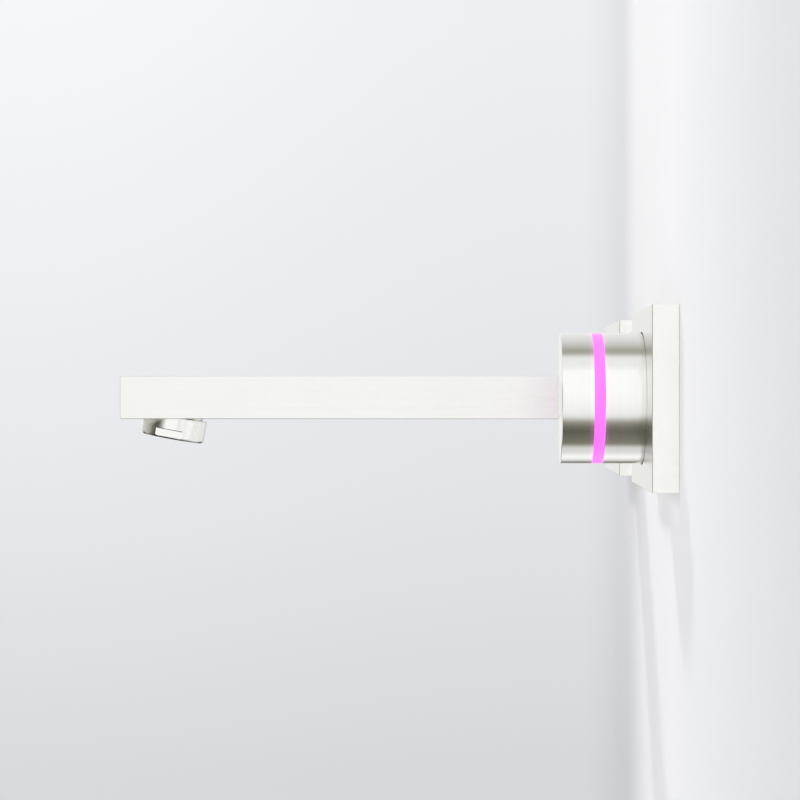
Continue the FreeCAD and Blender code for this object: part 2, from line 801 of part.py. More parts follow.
def splash_seal():
    """A rubber ring in the stem's groove, with a thin lip that leans out to the knob's sleeve."""
    y = splash_seal_y()
    half = SEAL_W / 2 - SEAL_GAP
    root = STEM_R - SEAL_DEPTH
    heel = STEM_R + SEAL_HEEL
    tip = KNOB_R - KNOB_WALL - 2 * SLIP
    lip = [(heel, y - half), (tip, y - half - SEAL_LEAN), (tip, y - half - SEAL_LEAN + SEAL_LIP)]
    return revolve_y([(root, y - half)] + lip + [(heel, y + half), (root, y + half)], PLATE_PITCH)


def led_front():
    return -STEM_SHOULDER - LED_BOARD_T


def led_board():
    return tube(LED_BOARD_R, NOSE_R + SLIP, LED_BOARD_T, V(PLATE_PITCH, led_front(), 0))


def led_chips():
    outer = LED_BOARD_R - 0.1
    chip = box(
        PLATE_PITCH + outer - LED_RADIAL,
        PLATE_PITCH + outer,
        led_front() - LED_HIGH,
        led_front(),
        -LED_ALONG / 2,
        LED_ALONG / 2,
    )
    return Part.makeCompound(ring_of(chip, LED_COUNT, V(PLATE_PITCH, 0, 0), Y_AXIS, 15))


def switch_front():
    return -SHAFT_BACK + PRESS_TRAVEL + SWITCH_GAP


def board_front():
    return switch_front() + SWITCH_H


def push_switch():
    base = slab(SWITCH_SIDE, SWITCH_SIDE, switch_front() + SWITCH_BUTTON, board_front(), PLATE_PITCH)
    button = cylinder(SWITCH_BUTTON_R, SWITCH_BUTTON, V(PLATE_PITCH, switch_front(), 0))
    return base.fuse(button).removeSplitter()


def switch_board():
    """A round board on the encoder's feet, held in the stem's bore."""
    board = cylinder(BOARD_R, BOARD_T, V(PLATE_PITCH, board_front(), 0))
    feet = []
    for sx in (-1, 1):
        for sz in (-1, 1):
            at = V(PLATE_PITCH + sx * FOOT_OFF, encoder_front() + ENCODER_L, sz * FOOT_OFF)
            feet.append(cylinder(FOOT_R, board_front() - at.y, at))
    return board.multiFuse(feet).removeSplitter()


def stem_screw_rods(radius, y0, y1):
    rod = cylinder(radius, y1 - y0, V(PLATE_PITCH + STEM_SCREW_PCD / 2, y0, 0))
    rods = ring_of(rod, STEM_SCREWS, V(PLATE_PITCH, 0, 0), Y_AXIS, 90)
    return rods[0].multiFuse(rods[1:])


def stem_screws():
    head_under = WALL_GAP - STEM_FLANGE_T
    tip = V(PLATE_PITCH + STEM_SCREW_PCD / 2, rail_back() + STEM_SCREW_BITE, 0)
    one = screw(M4_R, M4_HEAD_R, M4_HEAD, tip.y - head_under, tip, V(0, -1, 0), M4_KEY)
    return Part.makeCompound(ring_of(one, STEM_SCREWS, V(PLATE_PITCH, 0, 0), Y_AXIS, 90))


# Rail and housing


def rail_back():
    return WALL_GAP + RAIL_T


def rail_middle():
    return PLATE_PITCH / 2


def fixing_slots():
    """Four level slots, two at each end of the rail."""
    slots = []
    for x in (rail_middle() - FIX_X, rail_middle() + FIX_X):
        for z in (-FIX_Z, FIX_Z):
            half = FIX_SLOT / 2 - FIX_R
            ends = [cylinder(FIX_R, RAIL_T, V(x + s * half, WALL_GAP, z)) for s in (-1, 1)]
            middle = box(x - half, x + half, WALL_GAP, rail_back(), z - FIX_R, z + FIX_R)
            slots.append(middle.multiFuse(ends))
    return slots[0].multiFuse(slots[1:])


def mounting_rail():
    """A pressed steel rail with turned-back long edges."""
    left, right = -RAIL_END, PLATE_PITCH + RAIL_END
    outline = [
        V(0, WALL_GAP, -RAIL_H / 2),
        V(0, WALL_GAP, RAIL_H / 2),
        V(0, WALL_GAP + RAIL_FLANGE, RAIL_H / 2),
        V(0, WALL_GAP + RAIL_FLANGE, RAIL_H / 2 - RAIL_T),
        V(0, rail_back(), RAIL_H / 2 - RAIL_T),
        V(0, rail_back(), -RAIL_H / 2 + RAIL_T),
        V(0, WALL_GAP + RAIL_FLANGE, -RAIL_H / 2 + RAIL_T),
        V(0, WALL_GAP + RAIL_FLANGE, -RAIL_H / 2),
    ]
    face = Part.Face(Part.makePolygon(outline + [outline[0]]))
    rail = face.extrude(X_AXIS * (right - left))
    rail.translate(V(left, 0, 0))
    outer = [e for e in rail.Edges if e.Length > right - left - 1 and abs(e.BoundBox.YMin - WALL_GAP) < 0.1]
    rail = rail.makeFillet(RAIL_T * 0.6, outer)
    rail = rail.cut(fixing_slots())
    rail = rail.cut(cylinder(NIPPLE_THREAD_R + SLIP, RAIL_T, V(0, WALL_GAP, 0)))
    rail = rail.cut(cylinder(RAIL_HOLE_R, RAIL_T, V(PLATE_PITCH, WALL_GAP, 0)))
    rail = rail.cut(stem_screw_rods(M4_R + SCREW_GAP, WALL_GAP, rail_back()))
    for x in post_places(0) + post_places(PLATE_PITCH):
        rail = rail.cut(cylinder(M4_R, RAIL_T, V(x, WALL_GAP, 0)))
    for x in STANDOFF_X:
        rail = rail.cut(cylinder(M5_R + SCREW_GAP, RAIL_T, V(x, WALL_GAP, 0)))
    return rail


def control_housing():
    """A round can behind the rail, closed at the back, with bosses for the stem's screws."""
    back = rail_back() + HOUSING_CAN_D
    inner = HOUSING_CAN_R - HOUSING_CAN_WALL
    corner = HOUSING_CAN_WALL
    outside = [(0, back), (HOUSING_CAN_R - corner, back), (HOUSING_CAN_R, back - corner)]
    can = revolve_y(outside + [(HOUSING_CAN_R, rail_back()), (0, rail_back())], PLATE_PITCH)
    pad = cylinder(GLAND_R + 1, HOUSING_CAN_WALL * 2, V(PLATE_PITCH, gland_y(), gland_seat_z()), Z_AXIS)
    hollow = cylinder(inner, HOUSING_CAN_D - HOUSING_CAN_WALL, V(PLATE_PITCH, rail_back(), 0))
    can = can.fuse(pad).cut(hollow)
    bosses = stem_screw_rods(screw_boss_r(), rail_back(), back - HOUSING_CAN_WALL)
    holes = stem_screw_rods(M4_R, rail_back(), rail_back() + 2 * STEM_SCREW_BITE)
    hole_base = V(PLATE_PITCH, gland_y(), gland_seat_z())
    hole = cylinder(gland_thread_r(), HOUSING_CAN_WALL * 3, hole_base, Z_AXIS)
    return can.fuse(bosses).cut(holes).cut(hole).removeSplitter()


def screw_boss_r():
    return M4_R + SCREW_BOSS_WALL


def gland_thread_r():
    return GLAND_R - 1.2


def gland_y():
    return rail_back() + HOUSING_CAN_D * 0.62


def gland_seat_z():
    return -HOUSING_CAN_R - 0.8


def cable_gland():
    """A round gland with a domed cap, screwed into the can's underside."""
    seat = gland_seat_z()
    low = seat + GLAND_IN - GLAND_L
    cap_r = GLAND_R + GLAND_CAP_OUT
    outline = [
        (GLAND_BORE_R, seat + GLAND_IN),
        (gland_thread_r(), seat + GLAND_IN),
        (gland_thread_r(), seat),
        (GLAND_R, seat),
        (GLAND_R, low + GLAND_CAP),
        (cap_r, low + GLAND_CAP),
        (cap_r, low + GLAND_TAPER),
        (cap_r - GLAND_TAPER, low),
        (GLAND_BORE_R, low),
    ]
    return revolve_z(outline, PLATE_PITCH, gland_y())


def main_board():
    """The control board in the can, on a post that stands on the can's floor."""
    front = rail_back() + MAIN_BOARD_DEPTH
    back = front + BOARD_T
    floor = rail_back() + HOUSING_CAN_D - HOUSING_CAN_WALL
    board = slab(MAIN_BOARD_W, MAIN_BOARD_H, front, back, PLATE_PITCH)
    board = board.cut(stem_screw_rods(screw_boss_r() + SLIP, front, back))
    chip = slab(CHIP_SIDE, CHIP_SIDE, front - CHIP_T, front, PLATE_PITCH)
    relay = slab(RELAY_W, RELAY_H, back, back + RELAY_T, PLATE_PITCH)
    post = cylinder(POST_R, floor - back, V(PLATE_PITCH, back, MAIN_BOARD_H / 2 - 2 * POST_R))
    return board.multiFuse([chip, relay, post]).removeSplitter()


# Valve body and what it holds


def valve_body():
    """The brass mixing body: a block with turned bosses and its drilled ways."""
    block = box(-BODY_LEFT, BODY_RIGHT, BODY_FRONT, BODY_BACK, BODY_BOTTOM, BODY_TOP)
    block = block.makeChamfer(BODY_EDGE, block.Edges)
    bosses = [
        cylinder(OUTLET_BOSS_R, AXIS_Y - rail_back(), V(0, rail_back(), 0)),
        cylinder(MIX_BOSS_R, MIX_BOSS_TOP, V(MIX_X, AXIS_Y, 0), Z_AXIS),
    ]
    for x in (HOT_X, COLD_X):
        bosses.append(cylinder(PORT_BOSS_R, -port_mouth(), V(x, AXIS_Y, port_mouth()), Z_AXIS))
    body = block.multiFuse(bosses)
    for cutter in body_bores():
        body = body.cut(cutter)
    return body.removeSplitter()


def port_mouth():
    return BODY_BOTTOM - PORT_DROP


def feed_z():
    return port_mouth() + PORT_L + CHECK_L - FEED_R


def body_bores():
    port_floor = port_mouth() + PORT_L
    bores = [
        cylinder(PORT_R, NIPPLE_THREAD_L + 1, V(0, rail_back(), 0)),
        cylinder(WATERWAY_R, AXIS_Y - rail_back(), V(0, rail_back(), 0)),
        cylinder(CHANNEL_R, diaphragm_z(), V(0, AXIS_Y, 0), Z_AXIS),
        cylinder(SOLENOID_BORE_R, DIAPHRAGM_DEPTH, V(0, AXIS_Y, diaphragm_z()), Z_AXIS),
        cylinder(MIX_BORE_R, MIX_BOSS_TOP - MIX_FLOOR, V(MIX_X, AXIS_Y, MIX_FLOOR), Z_AXIS),
        cylinder(CHANNEL_R, MIX_X + BODY_LEFT, V(-BODY_LEFT, AXIS_Y, CHANNEL_Z), X_AXIS),
        cylinder(SENSOR_R, -BODY_BOTTOM, V(0, AXIS_Y, BODY_BOTTOM), Z_AXIS),
    ]
    for x in (HOT_X, COLD_X):
        bores.append(cylinder(PORT_R, PORT_L, V(x, AXIS_Y, port_mouth()), Z_AXIS))
        bores.append(cylinder(CHECK_R, CHECK_L, V(x, AXIS_Y, port_floor), Z_AXIS))
        toward = X_AXIS if x < MIX_X else -X_AXIS
        feed = V(x, AXIS_Y, feed_z())
        bores.append(cylinder(FEED_R, abs(MIX_X - x), feed, toward))
    for x in STANDOFF_X:
        bores.append(cylinder(M5_R, STANDOFF_BITE + SLIP, V(x, BODY_FRONT, 0)))
    depth = BRACKET_SCREW_BITE + 1.0
    for y in (BODY_FRONT, BODY_BACK - depth):
        bores.append(cylinder(M3_R, depth, V(motor_x(), y, bracket_screw_z())))
    return bores


def valve_standoffs():
    """Hexagonal pillars that hold the body off the rail."""
    pillars = []
    for x in STANDOFF_X:
        base = V(x, rail_back(), 0)
        pillar = hexagon(STANDOFF_FLATS, BODY_FRONT - rail_back(), base)
        pillars.append(pillar.cut(cylinder(M5_R + SCREW_GAP, BODY_FRONT - rail_back(), base)))
    return Part.makeCompound(pillars)


def bracket_screw_z():
    return BODY_TOP - BRACKET_LEG + BRACKET_SCREW_UP


def valve_screws():
    screws = []
    for x in STANDOFF_X:
        tip = V(x, BODY_FRONT + STANDOFF_BITE, 0)
        screws.append(screw(M5_R, M5_HEAD_R, M5_HEAD, tip.y - WALL_GAP, tip, V(0, -1, 0), M5_KEY))
    for side, face in ((-1, BODY_FRONT), (1, BODY_BACK)):
        tip = V(motor_x(), face - side * BRACKET_SCREW_BITE, bracket_screw_z())
        length = BRACKET_SCREW_BITE + BRACKET_T
        screws.append(screw(M3_R, M3_HEAD_R, M3_HEAD, length, tip, V(0, side, 0), M3_KEY))
    return Part.makeCompound(screws)


def channel_plug():
    """Closes the drilled end of the mixed-water way."""
    head = hexagon(PLUG_HEX, PLUG_HEX_T, V(-BODY_LEFT - PLUG_HEX_T, AXIS_Y, CHANNEL_Z), X_AXIS)
    return head.fuse(cylinder(CHANNEL_R, PLUG_IN, V(-BODY_LEFT, AXIS_Y, CHANNEL_Z), X_AXIS)).removeSplitter()


def temperature_sensor():
    low = BODY_BOTTOM - SENSOR_HEX_T
    nut = hexagon(SENSOR_HEX, SENSOR_HEX_T, V(0, AXIS_Y, low), Z_AXIS)
    stem = cylinder(SENSOR_R, SENSOR_IN, V(0, AXIS_Y, BODY_BOTTOM), Z_AXIS)
    tip = cylinder(SENSOR_TIP_R, SENSOR_TIP, V(0, AXIS_Y, BODY_BOTTOM + SENSOR_IN), Z_AXIS)
    neck = cylinder(SENSOR_NECK_R, SENSOR_NECK, V(0, AXIS_Y, low - SENSOR_NECK), Z_AXIS)
    return nut.multiFuse([stem, tip, neck]).removeSplitter()


def check_valves():
    """A non-return cartridge with its strainer in each inlet."""
    low = port_mouth() + PORT_L + SLIP
    high = low + CHECK_L - CHECK_TAIL
    wall = CHECK_R - SLIP
    outline = [
        (0, low + CHECK_WALL),
        (CHECK_POPPET_R, low + CHECK_WALL),
        (wall - CHECK_WALL, low),
        (wall, low),
        (wall, high),
        (CHECK_POPPET_R, high),
        (CHECK_POPPET_R / 2, high + CHECK_TAIL / 2),
        (0, high + CHECK_TAIL / 2),
    ]
    return Part.makeCompound([revolve_z(outline, x, AXIS_Y) for x in (HOT_X, COLD_X)])


def fixed_disc_z():
    return CARTRIDGE_TOP - CARTRIDGE_SEAT


def cartridge_body():
    """The plastic cartridge: an upper bonnet over the two ceramic discs, with inlet feet below."""
    seat = fixed_disc_z()
    outer = MIX_BORE_R - SLIP
    outline = [
        (SPINDLE_R + RUN, CARTRIDGE_TOP),
        (outer - CARTRIDGE_STEP, CARTRIDGE_TOP),
        (outer - CARTRIDGE_STEP, CARTRIDGE_TOP - CARTRIDGE_STEP_H),
        (outer, CARTRIDGE_TOP - CARTRIDGE_STEP_H),
        (outer, MIX_FLOOR),
        (DISC_R - CARTRIDGE_FOOT, MIX_FLOOR),
        (DISC_R - CARTRIDGE_FOOT, seat),
        (DISC_R + RUN, seat),
        (DISC_R + RUN, seat + 2 * DISC_T + SLIP),
        (SPINDLE_R + RUN, seat + 2 * DISC_T + SLIP),
    ]
    body = revolve_z(outline, MIX_X, AXIS_Y)
    return body.cut(cylinder(FEED_R, 2 * outer, V(MIX_X - outer, AXIS_Y, feed_z()), X_AXIS))


def disc_ports(z, count, turn):
    hole = cylinder(DISC_PORT_R, DISC_T, V(MIX_X + DISC_R * 0.55, AXIS_Y, z), Z_AXIS)
    holes = ring_of(hole, count, V(MIX_X, AXIS_Y, 0), Z_AXIS, turn)
    return holes[0].multiFuse(holes[1:])


def fixed_disc():
    z = fixed_disc_z()
    return cylinder(DISC_R, DISC_T, V(MIX_X, AXIS_Y, z), Z_AXIS).cut(disc_ports(z, 3, 30))


def moving_disc():
    z = fixed_disc_z() + DISC_T
    disc = cylinder(DISC_R - RUN, DISC_T, V(MIX_X, AXIS_Y, z), Z_AXIS).cut(disc_ports(z, 2, 0))
    return disc.cut(tongue_box(0.0, z + DISC_T - TONGUE_H, z + DISC_T))


def tongue_box(gap, low, high):
    x, y = TONGUE_W / 2 - gap, TONGUE_T / 2 - gap
    return box(MIX_X - x, MIX_X + x, AXIS_Y - y, AXIS_Y + y, low, high)


def mixer_spindle():
    """The spindle: a tongue in the moving disc, a round shank and two flats under the gear."""
    z = fixed_disc_z() + 2 * DISC_T
    shank = cylinder(SPINDLE_R, SPINDLE_TOP - z - SLIP, V(MIX_X, AXIS_Y, z + SLIP), Z_AXIS)
    tongue = tongue_box(RUN, z - TONGUE_H + RUN, z + SLIP)
    above = cylinder(2 * SPINDLE_R, SPINDLE_TOP - GEAR_Z, V(MIX_X, AXIS_Y, GEAR_Z), Z_AXIS)
    top = shank.common(spindle_flats()).fuse(shank.cut(above))
    bore = cylinder(M3_R, SPINDLE_TAP, V(MIX_X, AXIS_Y, SPINDLE_TOP - SPINDLE_TAP), Z_AXIS)
    return top.fuse(tongue).cut(bore).removeSplitter()


def spindle_flats():
    """The space between the spindle's two flats, above the gear's seat."""
    x, y = SPINDLE_R, SPINDLE_FLATS / 2
    return box(MIX_X - x, MIX_X + x, AXIS_Y - y, AXIS_Y + y, GEAR_Z, SPINDLE_TOP)


def cartridge_nut():
    """A ring nut that presses the cartridge down, with a hexagon for the spanner."""
    outer = MIX_BORE_R - SLIP
    step = outer - CARTRIDGE_STEP + SLIP
    inner = SPINDLE_R + CARTRIDGE_NUT_GAP
    low = CARTRIDGE_TOP - CARTRIDGE_STEP_H
    outline = [(inner, CARTRIDGE_TOP), (step, CARTRIDGE_TOP), (step, low), (outer, low)]
    collar = revolve_z(outline + [(outer, MIX_BOSS_TOP), (inner, MIX_BOSS_TOP)], MIX_X, AXIS_Y)
    top = CARTRIDGE_NUT_TOP - MIX_BOSS_TOP
    head = hexagon(CARTRIDGE_NUT_FLATS, top, V(MIX_X, AXIS_Y, MIX_BOSS_TOP), Z_AXIS)
    head = head.cut(cylinder(inner, CARTRIDGE_NUT_TOP, V(MIX_X, AXIS_Y, 0), Z_AXIS))
    return head.fuse(collar).removeSplitter()


def motor_x():
    return MIX_X + MODULE * (GEAR_TEETH + PINION_TEETH) / 2


def involute(base_r, angle):
    """The point that a taut string unwinds from a base circle after the given angle."""
    return V(
        base_r * (math.cos(angle) + angle * math.sin(angle)),
        base_r * (math.sin(angle) - angle * math.cos(angle)),
        0,
    )


def gear(teeth, thickness, first_tooth):
    """A spur gear about Z at the origin, with involute flanks, and one tooth centred on the given angle."""
    pitch_r = MODULE * teeth / 2
    outer_r = pitch_r + MODULE
    root_r = pitch_r - 1.25 * MODULE
    base_r = pitch_r * math.cos(math.radians(PRESSURE_ANGLE))
    start = math.sqrt(max(0.0, (root_r / base_r) ** 2 - 1))
    end = math.sqrt((outer_r / base_r) ** 2 - 1)
    tan = math.tan(math.radians(PRESSURE_ANGLE))
    half_tooth = math.pi / (2 * teeth) - BACKLASH / (2 * pitch_r) + tan - math.radians(PRESSURE_ANGLE)
    steps = 4
    flank = [involute(base_r, start + (end - start) * k / steps) for k in range(steps + 1)]
    edges = []
    lower = [FreeCAD.Rotation(Z_AXIS, -math.degrees(half_tooth)).multVec(p) for p in flank]
    upper = [V(p.x, -p.y, 0) for p in reversed(lower)]
    gap_turn = FreeCAD.Rotation(Z_AXIS, 360.0 / teeth)
    root_scale = root_r / lower[0].Length
    for k in range(teeth):
        turn = FreeCAD.Rotation(Z_AXIS, first_tooth + 360.0 * k / teeth)
        rise = [turn.multVec(p) for p in lower]
        fall = [turn.multVec(p) for p in upper]
        following = turn.multVec(gap_turn.multVec(lower[0]))
        if root_scale < 0.999:
            edges.append(Part.makeLine(rise[0] * root_scale, rise[0]))
        edges += [Part.makeLine(a, b) for a, b in zip(rise, rise[1:])]
        edges.append(Part.makeLine(rise[-1], fall[0]))
        edges += [Part.makeLine(a, b) for a, b in zip(fall, fall[1:])]
        if root_scale < 0.999:
            edges.append(Part.makeLine(fall[-1], fall[-1] * root_scale))
            edges.append(Part.makeLine(fall[-1] * root_scale, following * root_scale))
        else:
            edges.append(Part.makeLine(fall[-1], following))
    return Part.Face(Part.Wire(edges)).extrude(Z_AXIS * thickness)


def drive_gear():
    wheel = gear(GEAR_TEETH, GEAR_T, 0.0)
    dish = tube(GEAR_DISH_R, GEAR_HUB_R, GEAR_T / 3, V(0, 0, 0), Z_AXIS)
    wheel = wheel.cut(dish).cut(dish.translated(V(0, 0, GEAR_T - GEAR_T / 3)))
    window = cylinder(GEAR_HOLE_R, GEAR_T, V((GEAR_DISH_R + GEAR_HUB_R) / 2, 0, 0), Z_AXIS)
    windows = ring_of(window, GEAR_HOLES, V(0, 0, 0), Z_AXIS, 30)
    wheel = wheel.cut(windows[0].multiFuse(windows[1:]))
    wheel.translate(V(MIX_X, AXIS_Y, GEAR_Z))
    bore = cylinder(SPINDLE_R, GEAR_T, V(MIX_X, AXIS_Y, GEAR_Z), Z_AXIS).common(spindle_flats())
    return wheel.cut(bore)


def motor_pinion():
    half_pitch = 180.0 / PINION_TEETH
    facing = 180.0 + half_pitch
    pinion = gear(PINION_TEETH, PINION_T, facing)
    pinion.translate(V(motor_x(), AXIS_Y, pinion_z()))
    low = motor_top() - MOTOR_SHAFT_IN
    shaft = cylinder(MOTOR_SHAFT_R, pinion_z() + PINION_T - low, V(motor_x(), AXIS_Y, low), Z_AXIS)
    return pinion.fuse(shaft).removeSplitter()


def motor_top():
    return BODY_TOP + MOTOR_H


def pinion_z():
    return motor_top() + BRACKET_T + 1.0


def drive_motor():
    can = cylinder(MOTOR_R, MOTOR_H, V(motor_x(), AXIS_Y, BODY_TOP), Z_AXIS)
    edges = [e for e in can.Edges if len(e.Vertexes) == 1]
    can = can.makeChamfer(MOTOR_EDGE, edges)
    low = motor_top() - MOTOR_SHAFT_IN - SLIP
    return can.cut(cylinder(MOTOR_SHAFT_R + RUN, MOTOR_H, V(motor_x(), AXIS_Y, low), Z_AXIS))


def motor_bracket():
    """A bent steel strap over the motor, screwed to the front and back of the body."""
    x0, x1 = motor_x() - BRACKET_W / 2, motor_x() + BRACKET_W / 2
    low = BODY_TOP - BRACKET_LEG
    outer = box(x0, x1, BODY_FRONT - BRACKET_T, BODY_BACK + BRACKET_T, low, motor_top() + BRACKET_T)
    upper = [e for e in outer.Edges if e.BoundBox.ZMin > motor_top()]
    bends = [e for e in upper if e.BoundBox.XLength > BRACKET_T]
    outer = outer.makeFillet(BRACKET_T, bends)
    strap = outer.cut(box(x0, x1, BODY_FRONT, BODY_BACK, low, motor_top()))
    strap = strap.cut(cylinder(MOTOR_SHAFT_R + 2, BRACKET_T, V(motor_x(), AXIS_Y, motor_top()), Z_AXIS))
    holes = cylinder(M3_R + SCREW_GAP, BODY_BACK * 2, V(motor_x(), 0, bracket_screw_z()))
    return strap.cut(holes)


# Solenoid valve


def diaphragm_z():
    return BODY_TOP - DIAPHRAGM_DEPTH


def diaphragm():
    z = diaphragm_z()
    rim = SOLENOID_BORE_R - SLIP
    seat = WATERWAY_R + 1
    outline = [(PILOT_R, z), (seat, z), (seat + 1, z + DIAPHRAGM_T / 2), (rim - 1, z), (rim, z)]
    return revolve_z(outline + [(rim, z + DIAPHRAGM_T), (PILOT_R, z + DIAPHRAGM_T)], 0, AXIS_Y)


def solenoid_bonnet():
    """A bonnet screwed over the diaphragm, with the plunger's thin tube rising from it."""
    low = diaphragm_z() + DIAPHRAGM_T
    bore = TUBE_R - TUBE_WALL
    outline = [
        (bore, low + BONNET_FLOOR),
        (PILOT_R, low + BONNET_FLOOR),
        (PILOT_R, low),
        (SOLENOID_BORE_R - SLIP, low),
        (SOLENOID_BORE_R - SLIP, BODY_TOP),
        (BONNET_R, BODY_TOP),
        (BONNET_R, BODY_TOP + BONNET_T),
        (TUBE_R, BODY_TOP + BONNET_T),
        (TUBE_R, TUBE_TOP),
        (0, TUBE_TOP),
        (0, TUBE_TOP - TUBE_CAP),
        (bore, TUBE_TOP - TUBE_CAP),
    ]
    return revolve_z(outline, 0, AXIS_Y)


def plunger_seat():
    return diaphragm_z() + DIAPHRAGM_T + BONNET_FLOOR


def solenoid_plunger():
    radius = TUBE_R - TUBE_WALL - RUN
    low = plunger_seat()
    high = low + PLUNGER_L
    outline = [(0, low), (2 * PILOT_R, low), (radius, low + PILOT_R), (radius, high)]
    outline += [(radius / 2, high), (radius / 2, high - radius), (0, high - radius)]
    return revolve_z(outline, 0, AXIS_Y)


def plunger_spring():
    low = plunger_seat() + PLUNGER_L + 2 * SLIP
    high = TUBE_TOP - TUBE_CAP - 2 * SLIP
    length = high - low - 2 * PLUNGER_WIRE_R
    base = V(0, AXIS_Y, low + PLUNGER_WIRE_R)
    return spring(PLUNGER_SPRING_R, PLUNGER_WIRE_R, PLUNGER_TURNS, length, base, Z_AXIS)


def solenoid_coil():
    coil = tube(COIL_R, TUBE_R + RUN, COIL_H, V(0, AXIS_Y, COIL_Z), Z_AXIS)
    low = COIL_Z + (COIL_H - TERMINAL_H) / 2
    half = TERMINAL_W / 2
    terminal = box(-COIL_R - TERMINAL_OUT, 0, AXIS_Y - half, AXIS_Y + half, low, low + TERMINAL_H)
    terminal = terminal.cut(cylinder(TUBE_R + 1, COIL_H, V(0, AXIS_Y, COIL_Z), Z_AXIS))
    return coil.fuse(terminal).removeSplitter()


def solenoid_yoke():
    """A steel frame round the front, back, top and foot of the coil."""
    low, high = COIL_Z - YOKE_T, COIL_Z + COIL_H + YOKE_T
    half = COIL_R + SLIP
    outer = box(-YOKE_W / 2, YOKE_W / 2, AXIS_Y - half - YOKE_T, AXIS_Y + half + YOKE_T, low, high)
    inner = box(-YOKE_W / 2, YOKE_W / 2, AXIS_Y - half, AXIS_Y + half, low + YOKE_T, high - YOKE_T)
    return outer.cut(inner).cut(cylinder(TUBE_R + RUN, high, V(0, AXIS_Y, 0), Z_AXIS))


def parts():
    """Every piece by name."""
    return {
        "spout_shell": spout_shell(),
        "aerator_socket": aerator_socket(),
        "waterway_tube": waterway_tube(),
        "spout_root_block": spout_root_block(),
        "spout_grub_screw": spout_grub_screw(),
        "spout_nipple": spout_nipple(),
        "nipple_o_rings": nipple_o_rings(),
        "aerator_housing": aerator_housing(),
        "aerator_insert": aerator_insert(),
        "aerator_mesh": aerator_mesh(),
        "aerator_washer": aerator_washer(),
        "spout_plate": plate(spout_passage(SLIP), 0),
        "spout_plate_gasket": gasket(0),
        "spout_plate_carrier": carrier(spout_passage(2 * SLIP), 0),
        "control_plate": plate(knob_passage(KNOB_GAP), PLATE_PITCH),
        "control_plate_gasket": gasket(PLATE_PITCH),
        "control_plate_carrier": carrier(knob_passage(2 * KNOB_GAP), PLATE_PITCH),
        "carrier_screws": carrier_screws(),
        "knob_cap": knob_cap(),
        "light_ring": light_ring(),
        "knob_sleeve": knob_sleeve(),
        "knob_hub": knob_hub(),
        "hub_screws": hub_screws(),
        "knob_shaft": knob_shaft(),
        "return_spring": return_spring(),
        "encoder_body": encoder_body(),
        "encoder_rotor": encoder_rotor(),
        "encoder_nut": encoder_nut(),
        "control_stem": control_stem(),
        "splash_seal": splash_seal(),
        "led_board": led_board(),
        "led_chips": led_chips(),
        "push_switch": push_switch(),
        "switch_board": switch_board(),
        "stem_screws": stem_screws(),
        "mounting_rail": mounting_rail(),
        "control_housing": control_housing(),
        "main_board": main_board(),
        "cable_gland": cable_gland(),
        "valve_body": valve_body(),
        "valve_standoffs": valve_standoffs(),
        "valve_screws": valve_screws(),
        "channel_plug": channel_plug(),
        "temperature_sensor": temperature_sensor(),
        "check_valves": check_valves(),
        "cartridge_body": cartridge_body(),
        "fixed_disc": fixed_disc(),
        "moving_disc": moving_disc(),
        "mixer_spindle": mixer_spindle(),
        "cartridge_nut": cartridge_nut(),
        "drive_gear": drive_gear(),
        "drive_motor": drive_motor(),
        "motor_pinion": motor_pinion(),
        "motor_bracket": motor_bracket(),
        "diaphragm": diaphragm(),
        "solenoid_bonnet": solenoid_bonnet(),
        "solenoid_plunger": solenoid_plunger(),
        "plunger_spring": plunger_spring(),
        "solenoid_coil": solenoid_coil(),
        "solenoid_yoke": solenoid_yoke(),
    }


os.makedirs("parts", exist_ok=True)
for name, shape in parts().items():
    shape.exportStep("parts/" + name + ".step")
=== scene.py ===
"""Looks of an electronic wall basin tap: brushed nickel, a glowing ring and the works behind the wall."""

import json
import math

import bmesh
import bpy
from mathutils import Matrix, Vector


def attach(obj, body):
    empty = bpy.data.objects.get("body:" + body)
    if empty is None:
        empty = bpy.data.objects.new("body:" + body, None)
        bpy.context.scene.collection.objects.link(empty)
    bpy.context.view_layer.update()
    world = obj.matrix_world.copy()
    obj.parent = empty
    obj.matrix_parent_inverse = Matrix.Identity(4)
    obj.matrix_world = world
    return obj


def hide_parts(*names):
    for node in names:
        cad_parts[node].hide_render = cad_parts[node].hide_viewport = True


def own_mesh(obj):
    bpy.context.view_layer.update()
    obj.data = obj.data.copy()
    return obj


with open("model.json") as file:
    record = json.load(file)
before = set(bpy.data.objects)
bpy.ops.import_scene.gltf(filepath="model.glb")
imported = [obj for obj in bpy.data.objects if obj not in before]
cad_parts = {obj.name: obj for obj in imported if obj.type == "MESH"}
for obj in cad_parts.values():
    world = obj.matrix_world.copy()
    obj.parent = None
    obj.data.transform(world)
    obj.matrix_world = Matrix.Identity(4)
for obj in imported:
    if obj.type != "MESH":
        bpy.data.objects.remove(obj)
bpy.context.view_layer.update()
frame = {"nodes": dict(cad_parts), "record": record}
NODES = frame["nodes"]
BODIES = {node: body for body, nodes in frame["record"]["behaviour"]["bodies"].items() for node in nodes}
SLOTS = {row["node"]: row["material_slot"] for row in frame["record"]["subparts"]}
MM = 0.001
X, Y, Z = Vector((1, 0, 0)), Vector((0, 1, 0)), Vector((0, 0, 1))

# Places of the tap's parts, in metres, as in the CAD, and of the camera

